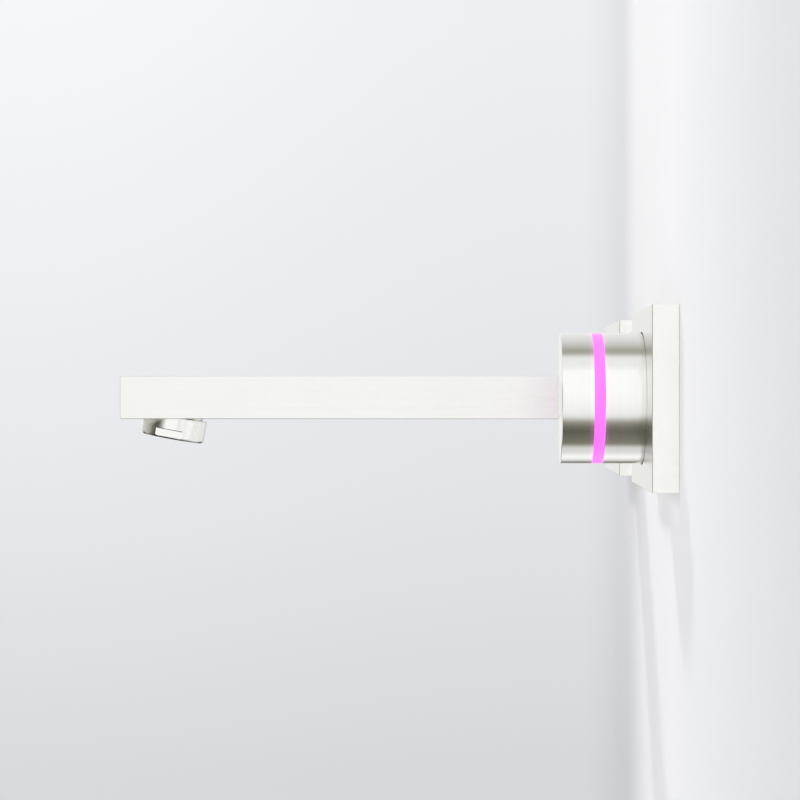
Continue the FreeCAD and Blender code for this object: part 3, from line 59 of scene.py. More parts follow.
SPOUT = Vector((0.0, 0.0, 0.0))
KNOB = Vector((0.152, 0.0, 0.0))
MIXER = Vector((0.045, 0.034, 0.0))
PINION = Vector((0.073, 0.034, 0.0))
SOLENOID = Vector((0.0, 0.034, 0.0))
INLETS = (Vector((0.022, 0.034, 0.0)), Vector((0.068, 0.034, 0.0)))
GLAND = Vector((0.152, 0.03132, 0.0))
OUTLET = Vector((0.0, -0.2028, -0.0174))
OUTLET_LEAN = math.radians(10.5)
OUTLET_UP = Vector((0.0, math.sin(OUTLET_LEAN), math.cos(OUTLET_LEAN)))
CAMERA = Vector((0.90659, -0.07278, 0.001878))

# The tap's sizes, in millimetres, as in the CAD: fronts and backs are distances from the wall's face

PLATE_W, PLATE_H, PLATE_EDGE = 88.0, 65.0, 0.35
SPOUT_W, SPOUT_H, SPOUT_EDGE = 36.0, 18.5, 0.3
KNOB_R, KNOB_WALL, KNOB_FRONT = 23.7, 2.2, 39.1
CAP_T = 2.5
RING_FRONT, RING_BACK = 27.45, 23.8
RING_LIP, RING_SPIGOT = 1.75, 6.0
SLEEVE_BACK = 4.0
CAN_R, CAN_BACK = 27.0, 45.0
MOTOR_R = 12.0
COIL_R = 13.0


# Shader maths


class Shade:
    """A shader socket that takes part in sums, and adds further nodes to its material."""

    def __init__(self, tree, socket=None):
        self.tree = tree
        self.socket = socket

    def node(self, kind, settings=None, inputs=None, output=0):
        """Adds a node: its settings come first, then the values or links of its sockets."""
        new = self.tree.nodes.new("ShaderNode" + kind)
        for name, value in (settings or {}).items():
            if name == "stops":
                set_stops(new.color_ramp, value)
            else:
                setattr(new, name, value)
        for name, value in (inputs or {}).items():
            if isinstance(value, Shade):
                self.tree.links.new(value.socket, new.inputs[name])
            else:
                new.inputs[name].default_value = value
        return Shade(self.tree, new.outputs[output])

    def math(self, operation, *others):
        return self.node("Math", {"operation": operation}, dict(enumerate((self, *others))))

    def __add__(self, other):
        return self.math("ADD", other)

    __radd__ = __add__

    def __sub__(self, other):
        return self.math("SUBTRACT", other)

    def __rsub__(self, other):
        return self.node("Math", {"operation": "SUBTRACT"}, {0: other, 1: self})

    def __mul__(self, other):
        return self.math("MULTIPLY", other)

    __rmul__ = __mul__

    def __truediv__(self, other):
        return self.math("DIVIDE", other)

    def __pow__(self, other):
        return self.math("POWER", other)

    def __abs__(self):
        return self.math("ABSOLUTE")

    def at_least(self, other):
        return self.math("MAXIMUM", other)

    def step(self, low, high):
        """0 below low, 1 above high, and smooth between them."""
        settings = {"interpolation_type": "SMOOTHSTEP"}
        return self.node("MapRange", settings, {"Value": self, "From Min": low, "From Max": high})

    def ramp(self, stops):
        return self.node("ValToRGB", {"stops": stops}, {"Fac": self})

    def tint(self, first, second):
        """A colour that goes from the first to the second as this value goes from 0 to 1."""
        return self.node("Mix", {"data_type": "RGBA"}, {0: self, 6: first, 7: second}, 2)

    def part(self, axis):
        return self.node("SeparateXYZ", None, {0: self}, axis)

    def less(self, point):
        return self.node("VectorMath", {"operation": "SUBTRACT"}, {0: self, 1: point})

    def along(self, direction):
        return self.node("VectorMath", {"operation": "DOT_PRODUCT"}, {0: self, 1: direction}, "Value")

    def length(self):
        return self.node("VectorMath", {"operation": "LENGTH"}, {0: self}, "Value")

    def stretched(self, scale):
        return self.node("Mapping", None, {"Vector": self, "Scale": scale})

    def noise(self, scale, detail, roughness=0.5):
        inputs = {"Vector": self, "Scale": scale, "Detail": detail, "Roughness": roughness}
        return self.node("TexNoise", None, inputs)

    def cells(self, scale, feature="F1"):
        return self.node("TexVoronoi", {"feature": feature}, {"Vector": self, "Scale": scale}, "Distance")

    def bump(self, strength, distance):
        return self.node("Bump", None, {"Height": self, "Strength": strength, "Distance": distance})


def set_stops(ramp, stops):
    """Gives a colour ramp its stops, each a place from 0 to 1 and a colour."""
    while len(ramp.elements) < len(stops):
        ramp.elements.new(0.5)
    for element, (place, colour) in zip(ramp.elements, stops):
        element.position = place
        element.color = rgb(colour)


def rgb(colour):
    """A linear RGBA colour from a grey, a triple or a triple with alpha."""
    if isinstance(colour, (int, float)):
        colour = (colour, colour, colour)
    return tuple(colour) if len(colour) == 4 else (*colour, 1.0)


def seen(red, green, blue):
    """The linear colour that is shown as these 0 to 255 values."""
    linear = []
    for value in (red, green, blue):
        v = value / 255
        linear.append(v / 12.92 if v <= 0.04045 else ((v + 0.055) / 1.055) ** 2.4)
    return (*linear, 1.0)


class Finish:
    """A material under construction: its Principled shader and the object coordinates."""

    def __init__(self, name, **constants):
        self.material = bpy.data.materials.new(name)
        self.material.use_nodes = True
        self.tree = self.material.node_tree
        self.shader = self.tree.nodes["Principled BSDF"]
        for socket, value in constants.items():
            self.shader.inputs[socket.replace("_", " ")].default_value = value
        self.place = Shade(self.tree).node("TexCoord", output="Object")

    def put(self, socket, value):
        """Links or sets one of the shader's sockets."""
        if isinstance(value, Shade):
            self.tree.links.new(value.socket, self.shader.inputs[socket])
        else:
            self.shader.inputs[socket].default_value = value


# Finishes

NICKEL = seen(241, 241, 236)
NICKEL_DARK = seen(238, 238, 232)
# The ring's light on the knob's metal is painted as emission: a painted glow
PAINTED_RING_GLOW = rgb((0.19, 0.0, 0.155))
PAINTED_GLOW_REACH = 2.8  # how far from the ring its light tints the metal, in millimetres


def along_and_out(place, centre, axis):
    """How far a place lies along an axis from its centre, and how far out from the axis."""
    away = place.less(centre)
    along = away.along(axis)
    return along, (away.length() ** 2.0 - along * along).at_least(0.0).math("SQRT")


def nickel(name, lines, streaks, roughness=0.15, depth=0.05, glow=False, painted_light=None):
    """Brushed nickel: lines and streaks are the vectors that the fine and the coarse brushing follow.

    With a glow, emission painted on the metal beside the ring is a painted glow that stands in for the
    ring's light falling on it. The last argument is a mask and the colour painted there, as painted light or
    shade.
    """
    f = Finish(name, Metallic=1.0)
    fine = lines(f.place).noise(1.0, 3.0, 0.65)
    coarse = streaks(f.place).noise(1.0, 2.0, 0.6)
    cloud = f.place.noise(38.0, 2.0)
    tone = (coarse * 0.7 + cloud * 0.3).step(0.25, 0.75).tint(NICKEL_DARK, NICKEL)
    # Colour painted where the mask lies: painted light or shade, not the metal's own tone
    if painted_light:
        mask, colour = painted_light
        tone = mask(f.place).tint(tone, colour)
    f.put("Base Color", tone)
    f.put("Roughness", roughness - 0.03 + fine * 0.04 + coarse * 0.02)
    f.put("Normal", (fine + coarse * 0.25).bump(depth, 0.01 * MM))
    if glow:
        # Emission painted beside the ring: a painted glow that stands in for the ring's light on the metal
        middle = (RING_FRONT + RING_BACK) / 2 * MM
        away = abs(f.place.part("Y") + middle) - (RING_FRONT - RING_BACK) / 2 * MM
        near = (1 - away.at_least(0.0) / (PAINTED_GLOW_REACH * MM)).at_least(0.0)
        f.put("Emission Color", (near * near).tint(rgb(0.0), PAINTED_RING_GLOW))
        f.put("Emission Strength", 1.0)
    return f.material


def turned_about(centre, axis, fineness):
    """Brushing that runs round an axis: it changes along the axis and with the distance from it."""

    def vector(place):
        along, radius = along_and_out(place, centre, axis)
        return place.node("CombineXYZ", None, {0: along * fineness, 1: radius * fineness, 2: 0.0})

    return vector


def outlet_chamfer_painted_dark(place):
    """How far the painted dark reflection reaches: only on the chamfer round the outlet's lower edge."""
    height, radius = along_and_out(place, OUTLET, OUTLET_UP)
    below = 1 - height.step(0.05 * MM, 0.30 * MM)
    outside = radius.step(12.15 * MM, 12.25 * MM)
    return below * outside * 0.75


def painted_highlight_near_root(place):
    """Painted highlight: 1 on the spout beside its plate, painted palest there, down to 0 towards the tip."""
    return place.part("Y").step(-75 * MM, -12 * MM)


def drawn_along(scale):
    """Straight brushing: the vector is hardly stretched along the lines and strongly across them."""
    return lambda place: place.stretched(scale)


def machined(name, base, dark, roughness, centre, axis, fineness=5200.0):
    """Turned or milled metal with faint tool marks and a slow change of tone."""
    f = Finish(name, Metallic=1.0)
    marks = turned_about(centre, axis, fineness)(f.place).noise(1.0, 2.0)
    cloud = f.place.noise(26.0, 2.0)
    f.put("Base Color", (cloud * 0.6 + marks * 0.4).step(0.1, 0.9).tint(dark, base))
    f.put("Roughness", roughness + cloud * 0.06 - 0.05 + marks * 0.06)
    f.put("Normal", marks.bump(0.12, 0.03 * MM))
    return f.material


def moulded(name, base, worn, roughness, grain=2600.0, depth=0.03 * MM):
    """Moulded plastic or rubber with a fine spark-eroded grain."""
    f = Finish(name)
    pits = f.place.noise(grain, 2.0, 0.6)
    cloud = f.place.noise(60.0, 3.0)
    f.put("Base Color", (cloud * 0.6 + pits * 0.4).step(0.2, 0.8).tint(base, worn))
    f.put("Roughness", roughness - 0.06 + pits * 0.12)
    f.put("Normal", pits.bump(0.25, depth))
    return f.material


def foam(name):
    """Closed-cell foam with its pores cut open."""
    f = Finish(name)
    pores = f.place.cells(1700.0)
    f.put("Base Color", pores.step(0.05, 0.55).tint(seen(26, 26, 28), seen(74, 74, 78)))
    f.put("Roughness", 0.86 + pores * 0.1)
    f.put("Normal", pores.bump(0.6, 0.2 * MM))
    return f.material


def zinc(name):
    """Zinc plating: a bluish passivated sheet with faint spangle and rolling lines."""
    f = Finish(name, Metallic=1.0)
    spangle = f.place.noise(140.0, 3.0, 0.6)
    rolled = f.place.stretched((30.0, 3000.0, 3000.0)).noise(1.0, 2.0)
    f.put("Base Color", spangle.step(0.2, 0.8).tint(seen(202, 205, 210), seen(212, 214, 216)))
    f.put("Roughness", 0.28 + spangle * 0.12 + rolled * 0.08)
    f.put("Normal", rolled.bump(0.08, 0.02 * MM))
    return f.material


def woven(name):
    """Fine stainless wire cloth, seen as a grid of bright wires over gaps painted dark as painted shade."""
    pitch = 0.6 * MM
    f = Finish(name, Metallic=1.0)
    wires = [
        ((f.place.part(axis) * 2 * math.pi / pitch).math("SINE") * 0.5 + 0.5).step(0.25, 0.65)
        for axis in ("X", "Y")
    ]
    cloth = wires[0].at_least(wires[1])
    # The gaps' dark colour is painted shade where one would see through the cloth
    f.put("Base Color", cloth.tint(seen(52, 52, 50), seen(206, 206, 204)))
    f.put("Roughness", 0.42 - cloth * 0.12)
    f.put("Normal", cloth.bump(0.4, 0.2 * MM))
    return f.material


def ceramic(name):
    """Lapped ceramic with a glassy surface."""
    f = Finish(name, Coat_Weight=0.6, Coat_Roughness=0.05)
    grain = f.place.noise(1800.0, 2.0)
    f.put("Base Color", grain.step(0.3, 0.7).tint(seen(226, 225, 218), seen(244, 243, 238)))
    f.put("Roughness", 0.12 + grain * 0.08)
    return f.material


def solder_mask(name, centre, axis_u, axis_v):
    """A green circuit board: copper tracks show as lighter lines under the mask, with plated holes."""
    f = Finish(name, Coat_Weight=0.5, Coat_Roughness=0.12)
    away = f.place.less(centre)
    u, v = away.along(axis_u), away.along(axis_v)
    flat = away.node("CombineXYZ", None, {0: u, 1: v, 2: 0.0})
    runs = flat.cells(420.0, "DISTANCE_TO_EDGE")
    tracks = 1 - runs.step(0.05, 0.09)
    holes = 1 - flat.cells(300.0).step(0.10, 0.14)
    green = tracks.tint(seen(14, 74, 42), seen(30, 112, 62))
    f.put("Base Color", holes.tint(green, seen(214, 190, 120)))
    f.put("Metallic", holes * 0.9)
    f.put("Roughness", 0.42 - holes * 0.15)
    f.put("Normal", (tracks + holes).bump(0.3, 0.04 * MM))
    return f.material


def glowing_ring(name):
    """The lit diffuser: pink, and a little paler at the top."""
    f = Finish(name, Roughness=0.35)
    height = f.place.part("Z").step(-24 * MM, 24 * MM)
    mottle = f.place.noise(420.0, 2.0).step(0.3, 0.7)
    f.put("Base Color", mottle.tint(seen(60, 20, 60), seen(70, 26, 70)))
    f.put("Emission Color", height.tint(seen(255, 120, 255), seen(252, 136, 252)))
    f.put("Emission Strength", 0.97)
    return f.material


def lamp_chip(name):
    """A small lamp: its pale case and the lit spot in it."""
    f = Finish(name, Roughness=0.3)
    glow = f.place.cells(900.0).step(0.0, 0.6)
    f.put("Base Color", glow.tint(seen(250, 240, 200), seen(236, 236, 236)))
    f.put("Emission Color", glow.tint(seen(255, 190, 255), seen(150, 90, 150)))
    f.put("Emission Strength", 0.8)
    return f.material


MATERIALS = {
    "spout": nickel(
        "nickel_lengthwise",
        drawn_along((5200, 60, 5200)),
        drawn_along((500, 6, 500)),
        roughness=0.28,
        # The spout is painted paler towards its plate: a painted highlight
        painted_light=(painted_highlight_near_root, seen(254, 255, 253)),
    ),
    "plate": nickel(
        "nickel_plate",
        drawn_along((70, 4200, 5200)),
        drawn_along((8, 420, 620)),
        roughness=0.26,
    ),
    "knob": nickel(
        "nickel_turned",
        turned_about(KNOB, Y, 5200.0),
        turned_about(KNOB, Y, 1700.0),
        roughness=0.14,
        depth=0.035,
        glow=True,
    ),
    "outlet": nickel(
        "nickel_outlet",
        turned_about(OUTLET, OUTLET_UP, 5200.0),
        turned_about(OUTLET, OUTLET_UP, 900.0),
        # The outlet's chamfer is painted dark: a painted reflection of the dark below and in front
        painted_light=(outlet_chamfer_painted_dark, seen(88, 86, 76)),
    ),
    "ring": glowing_ring("lit_diffuser"),
    "lamp": lamp_chip("lamp_chips"),
    "brass": machined("brass_milled", seen(224, 198, 140), seen(196, 164, 102), 0.30, MIXER, Z),
    "brass_solenoid": machined("brass_bonnet", seen(228, 204, 146), seen(202, 170, 108), 0.26, SOLENOID, Z),
    "brass_spout": machined("brass_turned", seen(228, 198, 130), seen(192, 156, 90), 0.28, SPOUT, Y),
    "copper": machined("copper_tube", seen(226, 160, 126), seen(176, 104, 76), 0.30, SPOUT, Y),
    "steel": machined("bright_steel", seen(214, 214, 212), seen(178, 178, 178), 0.24, SPOUT, Y),
    "steel_knob": machined("steel_shaft", seen(214, 214, 212), seen(180, 180, 180), 0.22, KNOB, Y),
    "steel_mixer": machined("steel_spindle", seen(212, 212, 210), seen(176, 176, 176), 0.24, MIXER, Z),
    "spring": machined("spring_wire", seen(196, 198, 202), seen(132, 134, 140), 0.28, KNOB, Y, 9000.0),
    "zinc": zinc("zinc_plating"),
    "mesh": woven("strainer_mesh"),
    "rubber": moulded("black_rubber", seen(30, 30, 31), seen(50, 50, 50), 0.62, 3400.0),
    "foam": foam("gasket_foam"),
    "black": moulded("black_housing", seen(34, 34, 36), seen(52, 52, 54), 0.5),
    "pale": moulded("pale_nylon", seen(212, 211, 205), seen(228, 227, 222), 0.46),
    "acetal": moulded("gear_acetal", seen(222, 218, 202), seen(238, 235, 222), 0.38, 1800.0, 0.01 * MM),
    "ceramic": ceramic("lapped_ceramic"),
    "board": solder_mask("solder_mask", KNOB, X, Z),
}

SLOT_FINISH = {
    "light_diffuser": "ring",
    "valve_brass": "brass",
    "copper_pipe": "copper",
    "stainless": "steel",
    "spring_steel": "spring",
    "zinc_steel": "zinc",
    "seal_rubber": "rubber",
    "gasket_foam": "foam",
    "black_plastic": "black",
    "pale_plastic": "pale",
    "gear_plastic": "acetal",
    "ceramic": "ceramic",
    "circuit_board": "board",
    "lamp": "lamp",
}
OWN_FINISH = {
    "spout_shell": "spout",
    "spout_plate": "plate",
    "control_plate": "plate",
    "knob_cap": "knob",
    "knob_sleeve": "knob",
    "aerator_housing": "outlet",
    "spout_nipple": "brass_spout",
    "spout_root_block": "brass_spout",
    "aerator_socket": "brass_spout",
    "solenoid_bonnet": "brass_solenoid",
    "knob_shaft": "steel_knob",
    "encoder_nut": "steel_knob",
    "aerator_mesh": "mesh",
    "mixer_spindle": "steel_mixer",
}


def finish_of(node):
    """A node's own finish where it has one, or else its slot's."""
    return OWN_FINISH.get(node) or SLOT_FINISH[SLOTS[node]]


def dress_nodes():
    """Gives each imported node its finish."""
    for node in SLOTS:
        materials = NODES[node].data.materials
        materials.clear()
        materials.append(MATERIALS[finish_of(node)])


# New pieces


def in_scene(name, mesh, material):
    """Puts a bmesh into the scene as an object of one material."""
    data = bpy.data.meshes.new(name)
    mesh.to_mesh(data)
    mesh.free()
    data.materials.append(material)
    obj = bpy.data.objects.new(name, data)
    bpy.context.scene.collection.objects.link(obj)
    return obj


def piece(name, mesh, body, slot, finish, *stands_for, crease):
    """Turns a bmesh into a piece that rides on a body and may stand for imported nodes."""
    bmesh.ops.remove_doubles(mesh, verts=mesh.verts, dist=1e-7)
    bmesh.ops.recalc_face_normals(mesh, faces=mesh.faces)
    obj = in_scene(name, mesh, MATERIALS[finish])
    smooth_by_angle(obj, crease)
    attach(obj, body)
    if stands_for:
        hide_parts(*stands_for)
    return obj


def redrawn(node, ending, mesh, crease=28.0):
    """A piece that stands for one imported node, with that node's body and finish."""
    finish = finish_of(node)
    return piece(node + ending, mesh, BODIES[node], SLOTS[node], finish, node, crease=crease)


def wall_detail(name, mesh, slot):
    """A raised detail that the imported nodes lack, on the works behind the wall."""
    piece(name, mesh, "wall_unit", slot, SLOT_FINISH[slot], crease=35.0)


def merged_copy(node):
    """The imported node's mesh with its loose triangles joined up."""
    mesh = bmesh.new()
    mesh.from_mesh(NODES[node].data)
    bmesh.ops.remove_doubles(mesh, verts=mesh.verts, dist=2e-6)
    bmesh.ops.dissolve_degenerate(mesh, dist=1e-7, edges=mesh.edges)
    return mesh


def smooth_by_angle(obj, degrees):
    """Round faces shade smoothly, and edges sharper than this angle stay crisp."""
    data = obj.data
    for polygon in data.polygons:
        polygon.use_smooth = True
    mesh = bmesh.new()
    mesh.from_mesh(data)
    limit = math.radians(degrees)
    for edge in mesh.edges:
        edge.smooth = len(edge.link_faces) == 2 and edge.calc_face_angle(0.0) < limit
    mesh.to_mesh(data)
    mesh.free()


def lathe(outline, centre, axis, steps=192):
    """Spins a closed outline about an axis: its points are a radius and a distance along, in millimetres."""
    mesh = bmesh.new()
    corners = [mesh.verts.new(centre + X * (r * MM) + axis * (along * MM)) for r, along in outline]
    edges = [mesh.edges.new(pair) for pair in zip(corners, corners[1:] + corners[:1])]
    bmesh.ops.spin(
        mesh, geom=corners + edges, cent=centre, axis=axis, angle=2 * math.pi, steps=steps, use_merge=True
    )
    bmesh.ops.dissolve_degenerate(mesh, dist=1e-7, edges=mesh.edges)
    return mesh


def knob_pieces():
    """The knob's cap, ring and sleeve, turned finely, with small radii beside the light."""
    side, bore = KNOB_R, KNOB_R - KNOB_WALL
    front, floor = -KNOB_FRONT, CAP_T - KNOB_FRONT
    ring_front, ring_back = -RING_FRONT, -RING_BACK
    cap = [
        (0, front), (side - 0.45, front), (side - 0.2, front + 0.08), (side - 0.04, front + 0.25),
        (side, front + 0.45), (side, ring_front - 0.15), (side - 0.15, ring_front),
        (bore, ring_front), (bore, floor), (0, floor),
    ]
    redrawn("knob_cap", "_turned", lathe(cap, KNOB, Y))
    lip = bore - RING_LIP
    spigot_front, spigot_back = ring_front - RING_SPIGOT, ring_back + RING_SPIGOT
    ring = [
        (side - 0.1, ring_front), (side - 0.04, ring_front + 0.35), (side - 0.04, ring_back - 0.35),
        (side - 0.1, ring_back), (bore, ring_back), (bore, spigot_back), (lip, spigot_back),
        (lip, spigot_front), (bore, spigot_front), (bore, ring_front),
    ]
    redrawn("light_ring", "_lens", lathe(ring, KNOB, Y))
    back = -SLEEVE_BACK
    sleeve = [
        (side - 0.15, ring_back), (side, ring_back + 0.15), (side, back - 0.2), (side - 0.2, back),
        (bore, back), (bore, ring_back),
    ]
    redrawn("knob_sleeve", "_turned", lathe(sleeve, KNOB, Y))


def outlet_pieces():
    """The aerator's housing, with its chamfer, wrench flats and thread."""
    bore, mouth, side, flat, shoulder = 10.6, 13.1, 13.95, 12.62, 9.2
    root, crest, pitch, top = 11.5, 12.0, 1.0, 15.7
    outline = [
        (bore, -0.3), (bore + 0.15, -0.5), (mouth, -0.5), (mouth + 0.42, 0.05), (side, 0.5), (side, 3.3),
        (side, 3.58), (side, 3.62), (side, shoulder - 0.2), (side - 0.2, shoulder), (crest, shoulder),
    ]
    ridge = shoulder + pitch / 2
    while ridge + pitch < top:
        outline += [(root, ridge), (crest, ridge + pitch / 2)]
        ridge += pitch
    outline += [(root, top), (bore, top)]
    mesh = lathe(outline, OUTLET, OUTLET_UP, 224)
    for hand in (-1, 1):
        everything = mesh.verts[:] + mesh.edges[:] + mesh.faces[:]
        bmesh.ops.bisect_plane(mesh, geom=everything, dist=1e-7, plane_co=X * (hand * flat * MM), plane_no=X)
    # How far out the flats let each height reach: a chamfer below, then the flat, then the cutter's corner
    reach = ((-0.2, flat - 0.45), (3.4, flat), (3.6, flat + 0.2))
    for vert in mesh.verts:
        height = (vert.co - OUTLET).dot(OUTLET_UP) / MM
        limit = next((limit for top_of_step, limit in reach if height < top_of_step), math.inf)
        if abs(vert.co.x) > limit * MM:
            vert.co.x = math.copysign(limit * MM, vert.co.x)
    piece(
        "outlet_housing_turned", mesh, "wall_unit", "brushed_nickel", "outlet", "aerator_housing", crease=12.0
    )


def sharpen_edges(mesh, middle, half, top, chamfer, above, below):
    """Draws the chamfers along the upper and the lower edges in to the widths above and below.

    The upright chamfers at the front get narrower. All sizes are in metres.
    """
    front = min(vert.co.y for vert in mesh.verts)
    for vert in mesh.verts:
        x, y, z = vert.co
        outward = math.copysign(1.0, x - middle)
        side = middle + outward * half
        if abs(x - side) > chamfer * 1.2:
            continue
        on_side = abs(x - side) < chamfer * 0.5
        upward = math.copysign(1.0, z)
        keep = above if z > 0 else below
        if y > front + chamfer * 0.5 and z * upward > top - chamfer * 1.2:
            if not on_side:
                vert.co.x = side - outward * keep
            if abs(z * upward - top) > chamfer * 0.5:
                vert.co.z = (top - keep) * upward
        if y < front + chamfer * 1.2:
            if not on_side:
                vert.co.x += outward * chamfer * 0.35
            elif y > front + chamfer * 0.5:
                vert.co.y -= chamfer * 0.35


def edged_pieces():
    """The spout and the two plates, with crisp edges: the last size is the chamfer that is left below."""
    rows = (
        ("spout_shell", SPOUT, SPOUT_W, SPOUT_H, SPOUT_EDGE, 0.19),
        ("spout_plate", SPOUT, PLATE_W, PLATE_H, PLATE_EDGE, 0.06),
        ("control_plate", KNOB, PLATE_W, PLATE_H, PLATE_EDGE, 0.06),
    )
    for node, place, width, height, chamfer, below in rows:
        mesh = merged_copy(node)
        half, top = width / 2 * MM, height / 2 * MM
        sharpen_edges(mesh, place.x, half, top, chamfer * MM, 0.06 * MM, below * MM)
        redrawn(node, "_brushed", mesh)


def bar(mesh, middle, size, ahead, across, bevel):
    """Adds a bevelled bar about its middle, which is a place in metres.

    Its size is in millimetres, and runs across, ahead and along the cross product of these two.
    """
    up = across.cross(ahead)
    turn = Matrix((across, ahead, up)).transposed().to_4x4()
    scale = Matrix.Diagonal((*[length * MM for length in size], 1.0))
    new = bmesh.ops.create_cube(mesh, size=1.0, matrix=Matrix.Translation(middle) @ turn @ scale)
    edges = list({edge for vert in new["verts"] for edge in vert.link_edges})
    bmesh.ops.bevel(
        mesh, geom=edges, offset=bevel * MM, segments=2, affect="EDGES", profile=0.6, material=-1
    )


def joined(meshes):
    """One bmesh out of several."""
    whole = bmesh.new()
    for mesh in meshes:
        data = bpy.data.meshes.new("part")
        mesh.to_mesh(data)
        mesh.free()
        whole.from_mesh(data)
        bpy.data.meshes.remove(data)
    return whole


def turned(axis, degrees):
    """The direction that points along X, turned about an axis."""
    return Matrix.Rotation(math.radians(degrees), 3, axis) @ X


def can_details():
    """Ribs, the seam and the back's boss of the can behind the knob, and the gland's grip."""
    seam = [
        (CAN_R - 0.4, 10.6), (CAN_R + 0.5, 11.0), (CAN_R + 0.7, 11.6),
        (CAN_R + 0.7, 13.4), (CAN_R + 0.5, 14.0), (CAN_R - 0.4, 14.4),
    ]
    boss = [
        (0, CAN_BACK - 0.4), (7.6, CAN_BACK - 0.4), (7.6, CAN_BACK + 0.6), (7.2, CAN_BACK + 1.0),
        (5.6, CAN_BACK + 1.0), (5.2, CAN_BACK + 0.5), (0, CAN_BACK + 0.5),
    ]
    ribs = bmesh.new()
    for number in range(24):
        out = turned(Y, 7.5 + 15 * number)
        if abs(out.x) < 0.42 and out.z < 0:
            continue  # the gland's pad is here
        bar(ribs, KNOB + out * (CAN_R + 0.1) * MM + Y * 28.0 * MM, (1.0, 25.0, 1.3), Y, out, 0.3)
    for number in range(6):
        out = turned(Y, 30 + 60 * number)
        bar(ribs, KNOB + out * 15.4 * MM + Y * CAN_BACK * MM, (14.0, 1.0, 1.2), Y, out, 0.25)
    whole = joined([lathe(seam, KNOB, Y), lathe(boss, KNOB, Y), ribs])
    wall_detail("can_ribs_and_seam", whole, "black_plastic")

    grip = bmesh.new()
    for number in range(16):
        out = turned(Z, 22.5 * number)
        bar(grip, GLAND + out * 6.85 * MM - Z * 33.4 * MM, (0.7, 1.1, 3.0), out.cross(Z) * -1, out, 0.2)
    wall_detail("gland_grip", grip, "black_plastic")


def body_details():
    """Raised rims round the two inlets, webs between them and the block, and the cartridge's collar."""
    rims = []
    for inlet in INLETS:
        rims.append(lathe([(13.2, -34.0), (13.9, -33.5), (13.9, -31.2), (13.2, -30.7)], inlet, Z))
        rims.append(lathe([(13.3, -15.6), (14.3, -14.6), (14.6, -13.6), (13.3, -13.6)], inlet, Z))
    webs = bmesh.new()
    for x in (8.0, 36.5, 53.5, 82.0):
        bar(webs, Vector((x * MM, MIXER.y, -17.6 * MM)), (5.0, 3.2, 8.4), Y, X, 0.8)
    collar = lathe([(14.2, 13.6), (15.2, 13.6), (15.2, 14.6), (14.8, 15.2), (14.2, 15.2)], MIXER, Z)
    wall_detail("body_rims", joined([*rims, webs, collar]), "valve_brass")


def rolled_bead(radius, low, rise, slope, height, centre):
    """A bead that stands out round a cylinder: it starts at the height low and is sloped at both ends."""
    outside = radius + rise
    outline = [(radius, low), (outside, low + slope), (outside, low + height - slope), (radius, low + height)]
    return lathe(outline, centre, Z)


def drive_details():
    """The motor's rolled beads, the coil's ribs, and the terminals of both."""
    beads = [rolled_bead(MOTOR_R - 0.2, low, 0.5, 0.3, 1.2, PINION) for low in (16.2, 29.4)]
    wall_detail("motor_beads", joined(beads), "zinc_steel")
    blades = bmesh.new()
    for y in (-2.2, 2.2):
        bar(blades, SOLENOID + Vector((-19.6, y, 34.0)) * MM, (4.4, 0.8, 4.8), Y, X, 0.12)
    for x in (-3.0, 3.0):
        bar(blades, PINION + Vector((x, 12.5, 19.6)) * MM, (2.0, 1.6, 0.5), Y, X, 0.1)
    wall_detail("terminal_blades", blades, "zinc_steel")
    ribs = [rolled_bead(COIL_R - 0.2, low, 0.3, 0.1, 1.0, SOLENOID) for low in (26.6, 30.0, 37.0, 40.4)]
    wall_detail("coil_ribs", joined(ribs), "black_plastic")


def rail_details():
    """Pressed beads that stiffen the rail."""
    beads = bmesh.new()
    for x, length in ((110.5, 20.0), (-27.5, 9.0), (186.5, 8.0)):
        for z in (-24.0, 24.0):
            bar(beads, Vector((x, 9.2, z)) * MM, (length, 1.4, 3.0), Y, X, 0.6)
    wall_detail("rail_beads", beads, "zinc_steel")


ROUND_NODES = (
    "valve_body", "valve_standoffs", "channel_plug", "cartridge_nut", "cartridge_body", "mixer_spindle",
    "temperature_sensor", "solenoid_bonnet", "solenoid_coil", "solenoid_plunger", "drive_motor",
    "motor_bracket", "solenoid_yoke", "valve_screws", "control_housing", "control_stem", "cable_gland",
    "mounting_rail", "spout_nipple", "carrier_screws", "stem_screws", "hub_screws", "knob_hub", "knob_shaft",
    "encoder_nut", "encoder_body", "spout_grub_screw", "aerator_insert", "check_valves", "waterway_tube",
    "drive_gear", "motor_pinion", "diaphragm", "fixed_disc", "moving_disc", "nipple_o_rings",
    "splash_seal", "spout_plate_carrier", "control_plate_carrier",
)


def round_pieces():
    """The other turned and moulded nodes, with their facets shaded as round."""
    for node in ROUND_NODES:
        redrawn(node, "_smooth", merged_copy(node))


def spring_pieces():
    """The two coil springs, each redrawn from its node with a mesh of its own."""
    rows = (
        ("return_spring", "knob_press", Y, Vector((KNOB.x, -0.0287, 0.0)), 1.0 * MM),
        ("plunger_spring", "plunger_lift", Z, Vector((0.0, SOLENOID.y, 0.045)), 2.0 * MM),
    )
    for node, joint, axis, fixed_end, travel in rows:
        obj = redrawn(node, "_wire", merged_copy(node), crease=50.0)
        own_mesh(obj)


# Stage, light and camera

# The backdrop's colour by height, from straight down at 0 to straight up at 1
BACKDROP = [
    (0.0, seen(196, 198, 202)), (0.41, seen(216, 218, 222)), (0.474, seen(231, 232, 236)),
    (0.525, seen(238, 239, 242)), (0.59, seen(246, 247, 249)), (1.0, seen(248, 249, 251)),
]
# The wall's colour along X, lighter and darker as painted light falloff, from the spout at 0 to half a metre
# away at 1
WALL_PAINTED_FALLOFF = [
    (0.00, seen(237, 237, 238)), (0.20, seen(240, 240, 241)), (0.34, seen(243, 243, 244)),
    (0.62, seen(237, 238, 240)), (0.92, seen(229, 231, 234)),
]


